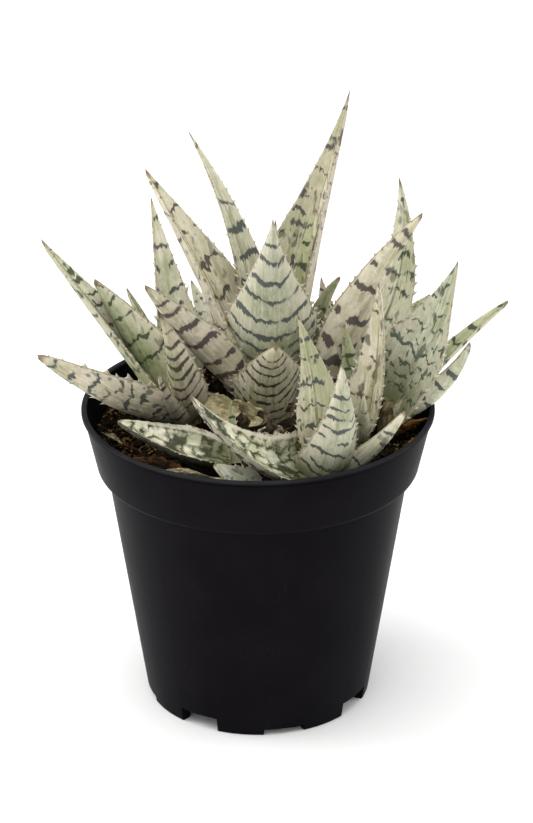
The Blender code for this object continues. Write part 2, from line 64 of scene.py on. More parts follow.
Leaf = namedtuple("Leaf", "crown z tip width bow sway roll taper widest cup tint")
LEAVES = {
    "main_front": Leaf("main", 111, (5, -9, 179), 31, 0, 0, -1, 1.30, 0.37, 0.20, "cream"),
    "main_slim": Leaf("main", 110, (19, 14, 173), 15, -2, 0, 8, 0.75, 0.37, 0.30, "green"),
    "main_tall": Leaf("main", 110, (31, 37, 207), 26, 2, -1, -10, 1.40, 0.40, 0.30, "pink"),
    "main_back_left": Leaf("main", 108, (-24, 41, 191), 15, 4, -4, -5, 1.16, 0.29, 0.30, "cream"),
    "main_left": Leaf("main", 106, (-38, 25, 183), 24, 1, -1, -4, 1.04, 0.36, 0.30, "pink"),
    "main_left_low": Leaf("main", 104, (-37, -21, 160), 17, 0, -5, 28, 0.84, 0.46, 0.25, "pink"),
    "main_cone": Leaf("main", 97, (6, -18, 137), 24, 3, -1, 7, 1.00, 0.45, 0.12, "cream"),
    "main_right": Leaf("inner_right", 107, (55, 10, 173), 17, 3, 0, -60, 0.80, 0.40, 0.20, "pink"),
    "main_back_right": Leaf("inner_right", 103, (48, 38, 175), 20, -10, -7, 28, 1.00, 0.38, 0.30, "green"),
    "main_small_right": Leaf("inner_right", 106, (28, 24, 144), 10, 3, 4, -4, 0.66, 0.28, 0.30, "green"),
    "left_upright": Leaf("left", 106, (-36, 22, 174), 17, 0, 0, 0, 1.10, 0.35, 0.25, "cream"),
    "left_long": Leaf("left", 100, (-73, 14, 162), 18, 0, 0, -5, 1.06, 0.32, 0.25, "pink"),
    "left_broad": Leaf("left", 103, (-55, 10, 149), 24, 0, -1, 45, 0.87, 0.48, 0.20, "green"),
    "left_inner": Leaf("left", 102, (-32, -8, 144), 16, -3, 4, -1, 0.80, 0.34, 0.25, "pink"),
    "left_small": Leaf("left_back", 102, (-45, 26, 139), 8, 1, -1, -3, 0.93, 0.26, 0.25, "green"),
    "left_low": Leaf("left", 101, (-73, -19, 134), 17, -2, 5, 45, 0.64, 0.45, 0.20, "pink"),
    "front_broad": Leaf("front", 96, (27, -43, 142), 22, -5, 0, -5, 0.96, 0.18, 0.25, "cream"),
    "front_upright": Leaf("front", 102, (13, -15, 147), 17, 0, -2, -6, 1.16, 0.32, 0.30, "green"),
    "front_arch": Leaf("front", 99, (-22, -41, 130), 22, -4, 10, -26, 0.99, 0.16, 0.30, "cream"),
    "front_right_small": Leaf("front", 96, (48, -35, 121), 11, -3, 0, -38, 0.65, 0.27, 0.25, "cream"),
    "front_trough": Leaf("front_left", 101, (-46, -34, 117), 16, -2, 0, -14, 0.70, 0.40, 0.30, "cream"),
    "right_broad": Leaf("right", 107, (67, 7, 157), 26, 0, -3, 20, 1.24, 0.42, 0.20, "green"),
    "right_slim": Leaf("right", 105, (85, 15, 139), 9, 1, 1, 0, 0.71, 0.28, 0.25, "green"),
    "right_low": Leaf("right", 104, (71, -4, 132), 10.5, -4.8, 1, -50, 0.75, 0.37, 0.25, "cream"),
    "right_upright": Leaf("right_front", 103, (40, -3, 153), 14, -2, -1, -3, 0.95, 0.28, 0.30, "pink"),
    "right_front_small": Leaf("right_front", 99, (35, -27, 124), 6, -2, 0, 0, 0.80, 0.27, 0.25, "pink"),
    "front_left_small": Leaf("front_left", 100, (-9, -25, 121), 5, -1, 0, 0, 0.90, 0.27, 0.25, "green"),
    "front_tip": Leaf("front_edge", 97, (-14, -50, 109), 12, -1, 1, -32, 0.70, 0.35, 0.25, "cream"),
    "left_thin": Leaf("left", 98, (-33, -20, 128), 7, -2, 0, 0, 0.80, 0.27, 0.25, "pink"),
    "right_inner": Leaf("right_front", 102, (29, 4, 135), 10, -1, 0, 0, 0.80, 0.30, 0.25, "green"),
    "main_behind": Leaf("main", 105, (6, 56, 152), 17, -3, 0, 0, 0.95, 0.30, 0.25, "cream"),
    "back_left": Leaf("left_back", 102, (-52, 54, 122), 13, 0, 0, 0, 0.90, 0.30, 0.25, "green"),
    "back_middle": Leaf("back", 104, (-4, 66, 138), 15, -3, 0, 0, 0.90, 0.30, 0.25, "pink"),
    "back_upright": Leaf("back", 105, (-20, 42, 150), 11, -2, 0, 0, 0.95, 0.30, 0.30, "cream"),
    "back_low": Leaf("back", 102, (-24, 68, 124), 12, -2, 0, 0, 0.80, 0.30, 0.25, "cream"),
    "back_right_long": Leaf("back_right", 103, (42, 66, 132), 15, -1, 0, 0, 0.90, 0.30, 0.25, "cream"),
    "back_right_side": Leaf("back_right", 103, (60, 46, 128), 14, 0, 0, 0, 0.90, 0.30, 0.25, "green"),
    "back_right_upright": Leaf("back_right", 104, (22, 52, 132), 12, -2, 0, 0, 0.95, 0.30, 0.30, "pink"),
}

# The look of a leaf: bands are the shares of its length where a dark band crosses it, each with its strength.
# sag bends a band's ends towards the tip, jag is the roughness of its edges and thick its thickness.
# marks and net are the strengths of loose dashes and of a net of dark lines.
# fold is 2 for a round trough and nearer 1 for a folded leaf.
# half greens one half of the leaf, the one whose share across has its sign, and base greens the lower part.
# belly is painted shade that darkens the underside, and teeth is the size of the thorns.
Look = namedtuple("Look", "bands sag jag thick marks net ground dark fold half base belly teeth",
                  defaults=(2.0, 0.0, 0.0, 0.0, 1.0))

PALE = (0.555, 0.53, 0.415)
CREAM = (0.42, 0.415, 0.31)
GREENISH = (0.35, 0.375, 0.215)
ROSY = (0.59, 0.52, 0.405)
BLUE_DARK = (0.050, 0.062, 0.062)
GREEN_DARK = (0.030, 0.050, 0.024)
PURPLE_DARK = (0.055, 0.044, 0.043)


def toned(colour, factor):
    """A colour made lighter or darker."""
    return tuple(round(c * factor, 4) for c in colour)


def spread(count, start=0.12, end=0.93, strength=0.9, seed=1):
    """Bands at about even steps, each moved a little and of its own strength."""
    draw = random.Random(seed)
    step = (end - start) / count
    return [(start + step * (i + draw.uniform(0.2, 0.8)), strength * draw.uniform(0.6, 1.1)) for i in range(count)]


LOOKS = {
    "main_front": Look(
        [(0.12, 0.8), (0.19, 0.9), (0.262, 0.9), (0.335, 0.95), (0.43, 1.1), (0.54, 1.15), (0.645, 1.1),
         (0.757, 1.0), (0.85, 0.8)],
        0.085, 0.80, 0.0140, 0.0, 0.0, toned(CREAM, 1.04), BLUE_DARK, base=0.7),
    "main_cone": Look(
        [(0.11, 0.7), (0.19, 0.9), (0.28, 1.0), (0.375, 1.1), (0.49, 1.1), (0.605, 1.0), (0.71, 0.9), (0.80, 0.8)],
        0.24, 0.8, 0.0160, 0.0, 0.0, (0.66, 0.60, 0.42), (0.028, 0.025, 0.017)),
    "main_slim": Look([(0.3, 0.8), (0.42, 0.8), (0.55, 0.8), (0.66, 0.9), (0.79, 1.0), (0.91, 0.7)],
                      -0.05, 1.2, 0.018, 0.5, 0.0, (0.60, 0.59, 0.38), GREEN_DARK, 1.5, 0.4),
    "main_tall": Look([(0.40, 0.8), (0.51, 0.8), (0.57, 0.8), (0.645, 0.9), (0.71, 0.8), (0.78, 0.9), (0.83, 0.8), (0.93, 1.0)],
                      0.0, 2.4, 0.011, 0.7, 0.0, toned(ROSY, 0.90), PURPLE_DARK, 1.3, 0.35),
    "main_back_left": Look([(0.30, 0.8), (0.40, 0.9), (0.49, 1.2), (0.60, 1.2), (0.69, 0.7), (0.83, 0.6), (0.93, 0.8)],
                           0.01, 1.2, 0.014, 0.3, 0.0, toned(PALE, 1.08), BLUE_DARK, 1.6),
    "main_left": Look([(0.20, 0.7), (0.31, 0.8), (0.42, 0.8), (0.56, 0.9), (0.70, 1.1), (0.81, 1.0), (0.94, 0.8)],
                      0.02, 1.9, 0.013, 0.5, 0.0, toned(ROSY, 1.45), PURPLE_DARK, 1.3, -0.30),
    "main_left_low": Look([(0.16, 1.0), (0.26, 1.1), (0.36, 1.2), (0.50, 1.25), (0.63, 1.2), (0.76, 1.0), (0.84, 0.9)],
                          -0.01, 0.85, 0.0190, 0.15, 0.0, toned(ROSY, 0.98), PURPLE_DARK),
    "main_right": Look([(0.08, 1.0), (0.18, 1.1), (0.26, 1.2), (0.40, 1.3), (0.56, 1.3), (0.69, 1.25), (0.81, 1.1), (0.89, 0.9)],
                       0.01, 1.4, 0.0200, 0.3, 0.0, toned(ROSY, 1.12), PURPLE_DARK),
    "main_back_right": Look([(0.30, 0.8), (0.41, 0.8), (0.53, 1.1), (0.61, 0.8), (0.70, 0.8), (0.90, 0.8)],
                            0.03, 1.6, 0.015, 0.6, 0.0, toned(PALE, 1.55), GREEN_DARK, 1.4, -0.25),
    "left_upright": Look([(0.22, 0.8), (0.33, 0.9), (0.43, 0.9), (0.53, 1.2), (0.66, 1.2), (0.75, 0.8), (0.89, 0.8)],
                         0.05, 1.3, 0.015, 0.1, 0.0, toned(PALE, 1.35), BLUE_DARK),
    "left_long": Look([(0.30, 0.8), (0.41, 0.8), (0.49, 0.8), (0.60, 0.8), (0.69, 1.0), (0.75, 1.0), (0.80, 0.8), (0.93, 0.9)],
                      0.02, 2.0, 0.012, 0.9, 0.0, toned(PALE, 1.1), GREEN_DARK, 1.3, 0.4),
    "left_broad": Look([(0.12, 0.6), (0.25, 0.7), (0.40, 1.0), (0.54, 1.1), (0.70, 0.8), (0.82, 0.7), (0.95, 0.9)],
                       0.04, 1.7, 0.015, 0.5, 0.0, (0.36, 0.38, 0.235), GREEN_DARK),
    "left_inner": Look([(0.17, 0.9), (0.27, 1.0), (0.37, 1.1), (0.47, 1.2), (0.57, 1.2), (0.65, 1.0), (0.74, 1.0), (0.86, 0.8)],
                       0.22, 0.9, 0.017, 0.0, 0.0, (0.43, 0.39, 0.275), toned(PURPLE_DARK, 0.8)),
    "left_low": Look([(0.08, 1.1), (0.16, 0.8), (0.25, 1.2), (0.35, 0.8), (0.43, 0.9), (0.54, 0.8), (0.67, 1.1), (0.79, 1.0), (0.92, 0.8)],
                     0.02, 2.3, 0.016, 0.8, 0.0, ROSY, BLUE_DARK, teeth=2.3),
    "front_broad": Look(
        [(0.12, 0.8), (0.20, 0.9), (0.31, 1.0), (0.42, 1.1), (0.52, 1.15), (0.60, 0.8), (0.67, 0.9), (0.77, 1.1), (0.88, 0.7)],
        0.09, 1.5, 0.0125, 0.1, 0.0, toned(CREAM, 1.06), BLUE_DARK, 2.0, 0.0, 0.3),
    "front_upright": Look([(0.10, 0.8), (0.22, 0.8), (0.35, 0.8), (0.52, 1.1), (0.68, 0.8), (0.85, 0.8)],
                          0.03, 2.4, 0.015, 1.0, 0.0, (0.56, 0.53, 0.38), BLUE_DARK, 1.4, -0.40, teeth=0.6),
    "front_arch": Look([(0.57, 0.6), (0.69, 0.8), (0.80, 0.8), (0.91, 0.8)],
                       0.0, 2.2, 0.015, 0.5, 1.0, toned(PALE, 1.30), (0.020, 0.025, 0.008), 2.0, 0.0, 0.70, 0.45, 0.45),
    "front_trough": Look([(0.72, 0.6), (0.86, 0.7)],
                         0.05, 2.0, 0.012, 0.4, 1.0, toned(PALE, 1.30), (0.020, 0.025, 0.008), 2.0, 0.0, 0.70, 0.90, 0.45),
    "front_tip": Look([(0.3, 0.8), (0.6, 0.8)], 0.0, 2.4, 0.03, 1.0, 0.0, (0.80, 0.79, 0.66), (0.16, 0.19, 0.18)),
    "right_front_small": Look([(0.3, 0.7), (0.5, 0.8), (0.72, 0.7)], 0.0, 1.6, 0.02, 0.6, 0.0, PALE, BLUE_DARK),
    "front_right_small": Look([(0.2, 0.9), (0.34, 1.0), (0.5, 1.0), (0.63, 0.9), (0.78, 0.9)],
                              0.0, 2.0, 0.02, 0.7, 0.0, toned(PALE, 1.1), PURPLE_DARK),
    "right_broad": Look([(0.10, 0.9), (0.19, 0.9), (0.27, 1.0), (0.37, 1.0), (0.46, 0.8), (0.54, 0.7), (0.65, 0.8), (0.75, 0.9), (0.84, 0.9)],
                        0.05, 2.4, 0.0115, 0.9, 0.0, (0.46, 0.455, 0.35), (0.050, 0.075, 0.048), 2.0, 0.0, 0.35),
    "right_slim": Look([(0.25, 0.8), (0.42, 0.8), (0.57, 1.0), (0.74, 0.8), (0.93, 0.8)],
                       0.05, 1.6, 0.02, 0.6, 0.0, (0.43, 0.45, 0.27), GREEN_DARK),
    "right_upright": Look([(0.06, 0.9), (0.18, 0.8), (0.30, 0.6), (0.46, 0.6), (0.62, 0.6), (0.80, 0.7), (0.92, 0.7)],
                          0.05, 2.2, 0.012, 0.8, 0.0, toned(ROSY, 1.55), (0.085, 0.065, 0.050), 1.3),
    "right_low": Look([(0.14, 0.8), (0.29, 1.1), (0.49, 1.2), (0.66, 1.2), (0.80, 1.1), (0.93, 0.8)],
                      0.02, 1.6, 0.023, 0.2, 0.0, toned(PALE, 1.2), BLUE_DARK),
}
DEFAULT_LOOK = {
    "cream": Look(spread(7, seed=30), 0.04, 1.3, 0.018, 0.4, 0.0, toned(PALE, 0.85), BLUE_DARK),
    "green": Look(spread(6, seed=31, strength=0.8), 0.04, 1.5, 0.018, 0.7, 0.0, GREENISH, GREEN_DARK),
    "pink": Look(spread(7, seed=32), 0.04, 1.4, 0.018, 0.5, 0.0, toned(ROSY, 0.85), PURPLE_DARK),
}

BASE_SHARE = 0.74
EDGE_POWER = 0.7
BLADE_LEAST = 0.8
BLADE_SHARE = 0.17
RIM_THICK = 0.35
HALF_RING = 8
STATIONS = 60
TOOTH_SPACING = 3.4


def width_share(leaf, t):
    """A blade's width at t, as a share of its widest: a broad base, then a narrowing to the tip."""
    if t < leaf.widest:
        rise = t / leaf.widest
        return BASE_SHARE + (1 - BASE_SHARE) * rise * (2 - rise)
    return ((1 - t) / (1 - leaf.widest)) ** leaf.taper


def root_of(leaf):
    """Where a leaf's middle starts: inside its crown's stem, on the side that it leans to."""
    crown = CROWNS[leaf.crown]
    lean = np.array((leaf.tip[0] - crown.x, leaf.tip[1] - crown.y, 0.0))
    lean /= np.linalg.norm(lean)
    return np.array((crown.x, crown.y, leaf.z), float) + lean * 0.6 * crown.radius


def spine(leaf, t):
    """The place, tangent, side and normal of a leaf's middle at t."""
    root = root_of(leaf)
    chord = np.array(leaf.tip, float) - root
    along = chord / np.linalg.norm(chord)
    side = np.array((-chord[1], chord[0], 0.0))
    side /= np.linalg.norm(side)
    offset = leaf.bow * np.cross(along, side) + leaf.sway * side
    place = root + chord * t + offset * 4 * t * (1 - t)
    tangent = chord + offset * 4 * (1 - 2 * t)
    tangent /= np.linalg.norm(tangent)
    side = side - tangent * side.dot(tangent)
    side /= np.linalg.norm(side)
    normal = np.cross(tangent, side)
    turn = math.radians(leaf.roll)
    rolled = side * math.cos(turn) + normal * math.sin(turn)
    return place, tangent, rolled, np.cross(tangent, rolled)


ACROSS = np.sin(np.linspace(-math.pi / 2, math.pi / 2, 2 * HALF_RING + 1))


class Surface:
    """A leaf's surface: where a point of it lies for a share across and a share along."""

    def __init__(self, name, leaf, look):
        self.leaf, self.look = leaf, look
        self.draw = random.Random(name)
        self.phase = [self.draw.uniform(0, 6.28) for _ in range(8)]
        self.length = np.linalg.norm(np.array(leaf.tip) - root_of(leaf))

    def section(self, t):
        """The centre, axes, width and thickness at t, with the small unevenness of a grown leaf."""
        place, tangent, side, normal = spine(self.leaf, t)
        width = self.leaf.width * width_share(self.leaf, t)
        thick = BLADE_LEAST + BLADE_SHARE * self.leaf.width * (1 - t) ** 0.8
        thick = min(thick, 0.25 + 0.55 * width)
        sway = 0.012 * self.leaf.width * math.sin(9 * t + self.phase[0]) * (1 - t)
        return place + side * sway, tangent, side, normal, width, thick

    def upper(self, u, t, width):
        """The height of the upper face over the middle line."""
        trough = self.leaf.cup * width * abs(u) ** self.look.fold
        spot = Vector((u * 2.4 + self.phase[1], t * self.length * 0.055, self.phase[2]))
        return trough + 0.035 * width * noise.noise(spot, noise_basis="PERLIN_ORIGINAL") * (1 - t)

    def edge(self, t, outward):
        """The middle of the margin at t on one side, with its outward, up and forward directions."""
        place, tangent, side, normal, width, _ = self.section(t)
        half = width / 2 * self.margin(t, outward)
        centre = place + side * (outward * half) + normal * (self.upper(outward, t, width) - RIM_THICK / 2)
        return centre, side * outward, normal, tangent

    def margin(self, t, outward):
        """The slight scallop of the margin between its teeth, deeper on the netted leaves."""
        phase = self.phase[3 + (outward > 0)]
        wave = 0.014 * math.sin(31 * t + phase) + 0.010 * math.sin(67 * t + 1.7 * phase)
        return 1.0 + wave + 0.022 * self.look.net * math.sin(74 * t + 2 * phase)

    def ring(self, t):
        """The points round the blade at t: over its upper face, then back under it."""
        place, _, side, normal, width, thick = self.section(t)
        over, under = [], []
        for u in ACROSS:
            outward = 1 if u > 0 else -1
            x = u * width / 2 * (1 + (self.margin(t, outward) - 1) * abs(u) ** 6)
            top = self.upper(u, t, width)
            body = thick * (1 - u * u) ** EDGE_POWER
            rim = min(RIM_THICK, 0.3 * width + 0.05)
            over.append(place + side * x + normal * top)
            under.append(place + side * x + normal * (top - body - rim))
        return over + under[::-1]


def blade_mesh(surface, points, faces, shares):
    """Adds the blade's skin, with the share across and along of each point for its colour."""
    steps = np.linspace(0, 1, STATIONS + 1)[:-1] ** 0.96
    count = 2 * len(ACROSS)
    across = list(ACROSS) + list(ACROSS[::-1])
    start = len(points)
    for t in steps:
        points += surface.ring(t)
        shares += [(u, t) for u in across]
    for k in range(len(steps) - 1):
        for i in range(count):
            a, b = start + k * count + i, start + k * count + (i + 1) % count
            faces.append((a, b, b + count, a + count))
    last = start + (len(steps) - 1) * count
    points.append(np.array(surface.leaf.tip, float))
    shares.append((0.0, 1.0))
    for i in range(count):
        faces.append((last + i, last + (i + 1) % count, len(points) - 1))
    points.append(surface.section(0)[0])
    shares.append((0.0, 0.0))
    for i in range(count):
        faces.append((start + (i + 1) % count, start + i, len(points) - 1))


def tooth_mesh(surface, t, outward, points, faces, shares):
    """Adds one tooth to the margin: a small curved thorn that leans towards the leaf's tip."""
    centre, out, up, forward = surface.edge(t, outward)
    draw = surface.draw
    size = (0.55 + 0.75 * draw.random()) * min(1.0, 1.5 - 1.25 * t) * min(1.0, 0.5 + surface.leaf.width / 36)
    size *= surface.look.teeth
    half, height = 1.15 * size, 1.35 * size
    lean = 0.35 + 0.5 * draw.random()
    base = len(points)
    for share, scale, shift in ((-0.25, 1.0, 0.0), (0.30, 0.55, 0.25), (0.65, 0.28, 0.6)):
        middle = centre + out * (height * share) + forward * (lean * shift * half * 2)
        for a, b in ((-1, 0), (0, 1), (1, 0), (0, -1)):
            points.append(middle + forward * (a * half * scale) + up * (b * 0.24 * scale * size))
            shares.append((outward * (1.02 + 0.1 * max(share, 0)), t))
    for k in (0, 4):
        for i in range(4):
            a, b = base + k + i, base + k + (i + 1) % 4
            faces.append((a, b, b + 4, a + 4))
    faces.append((base, base + 3, base + 2, base + 1))
    points.append(centre + out * height + forward * (lean * half * 2) + up * 0.1)
    shares.append((outward * 1.2, t))
    for i in range(4):
        faces.append((base + 8 + i, base + 8 + (i + 1) % 4, len(points) - 1))


def mesh_piece(name, points, faces, smooth=True):
    """A new object from points in millimetres."""
    mesh = bpy.data.meshes.new(name)
    mesh.from_pydata([Vector(p) * MM for p in points], [], faces)
    mesh.polygons.foreach_set("use_smooth", [smooth] * len(mesh.polygons))
    mesh.update()
    obj = bpy.data.objects.new(name, mesh)
    bpy.context.scene.collection.objects.link(obj)
    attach(obj, "root")
    return obj


def outward_faces(obj):
    """Turns an object's faces outwards."""
    bm = bmesh.new()
    bm.from_mesh(obj.data)
    bmesh.ops.recalc_face_normals(bm, faces=bm.faces)
    bm.to_mesh(obj.data)
    bm.free()


def make_leaf(name, leaf):
    """A leaf with its teeth, in one piece that stands for the part's plain one."""
    look = LOOKS.get(name, DEFAULT_LOOK[leaf.tint])
    surface = Surface(name, leaf, look)
    points, faces, shares = [], [], []
    blade_mesh(surface, points, faces, shares)
    blade = STATIONS * 2 * len(ACROSS)
    for outward in (-1, 1):
        place = surface.draw.uniform(0.4, 1.0) * TOOTH_SPACING
        while place < surface.length * 0.95:
            tooth_mesh(surface, place / surface.length, outward, points, faces, shares)
            place += TOOTH_SPACING * surface.draw.uniform(0.6, 1.4) * (0.5 + 0.5 * look.teeth)
    obj = mesh_piece("aloe_" + name, points, faces)
    corners = np.empty(len(obj.data.loops), dtype=np.int32)
    obj.data.loops.foreach_get("vertex_index", corners)
    under = [1.0 if k < blade and k % (2 * len(ACROSS)) >= len(ACROSS) else 0.0 for k in range(len(points))]
    shares = np.array(shares)
    share = obj.data.uv_layers.new(name="share")
    share.data.foreach_set("uv", (shares[corners] * (0.4, 1.0) + (0.5, 0.0)).ravel())
    face = obj.data.uv_layers.new(name="face")
    face.data.foreach_set("uv", np.column_stack((np.array(under)[corners], np.zeros(len(corners)))).ravel())
    real = np.array([(u * leaf.width * width_share(leaf, t) / 2, t * surface.length) for u, t in shares])
    scale = obj.data.uv_layers.new(name="millimetres")
    scale.data.foreach_set("uv", (real[corners] / 100 + (0.5, 0.0)).ravel())
    outward_faces(obj)
    obj.data.materials.append(leaf_material("aloe_" + name, look, leaf.width, surface.draw.random() * 50))
    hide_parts("leaf_" + name)
    return obj


class Graph:
    """A short way to build a material's nodes."""

    def __init__(self, name):
        self.material = bpy.data.materials.new(name)
        self.material.use_nodes = True
        self.tree = self.material.node_tree
        self.shader = self.tree.nodes["Principled BSDF"]

    def add(self, kind, inputs=None, **settings):
        node = self.tree.nodes.new(kind)
        for key, value in settings.items():
            setattr(node, key, value)
        for key, value in (inputs or {}).items():
            self.put(node.inputs[key], value)
        return node

    def put(self, socket, value):
        if isinstance(value, bpy.types.NodeSocket):
            self.tree.links.new(value, socket)
        elif isinstance(value, tuple) and len(value) == 3 and socket.type == "RGBA":
            socket.default_value = (*value, 1.0)
        else:
            socket.default_value = value

    def math(self, operation, a, b=0.0, c=0.0, clamp=False):
        node = self.add("ShaderNodeMath", {0: a, 1: b, 2: c}, operation=operation, use_clamp=clamp)
        return node.outputs[0]

    def mix(self, factor, a, b, blend="MIX"):
        node = self.add("ShaderNodeMix", data_type="RGBA", blend_type=blend)
        self.put(node.inputs["Factor"], factor)
        self.put(node.inputs[6], a)
        self.put(node.inputs[7], b)
        return node.outputs[2]

    def remap(self, value, low, high, out_low=0.0, out_high=1.0, smooth=True):
        kind = "SMOOTHSTEP" if smooth else "LINEAR"
        inputs = {"Value": value, 1: low, 2: high, 3: out_low, 4: out_high}
        return self.add("ShaderNodeMapRange", inputs, interpolation_type=kind).outputs[0]

    def noise(self, vector, scale, detail=2.0, rough=0.5, distort=0.0):
        inputs = {"Vector": vector, "Scale": scale, "Detail": detail, "Roughness": rough, "Distortion": distort}
        return self.add("ShaderNodeTexNoise", inputs).outputs[0]

    def stretch(self, vector, scale, offset=0.0):
        inputs = {"Vector": vector, "Scale": scale, "Location": (offset, offset * 1.7, offset * 0.3)}
        return self.add("ShaderNodeMapping", inputs).outputs[0]

    def ramp(self, value, stops, mode="LINEAR"):
        node = self.add("ShaderNodeValToRGB", {"Fac": value})
        node.color_ramp.interpolation = mode
        while len(node.color_ramp.elements) < len(stops):
            node.color_ramp.elements.new(0.5)
        for element, (place, colour) in zip(node.color_ramp.elements, stops):
            element.position = place
            element.color = (*colour, 1.0) if isinstance(colour, tuple) else (colour, colour, colour, 1.0)
        return node.outputs[0]

    def bump(self, height, distance, strength=1.0, normal=None):
        inputs = {"Height": height, "Distance": distance, "Strength": strength}
        if normal is not None:
            inputs["Normal"] = normal
        return self.add("ShaderNodeBump", inputs).outputs[0]


def band_stops(bands, half):
    """Ramp stops that rise in a straight line to each band's strength and fall again."""
    stops = [(0.0, 0.0)]
    for place, strength in sorted(bands):
        stops += [(place - half, 0.0), (place, strength / 1.3), (place + half, 0.0)]
    return [(min(max(place, 0.0), 1.0), strength) for place, strength in stops[:32]]


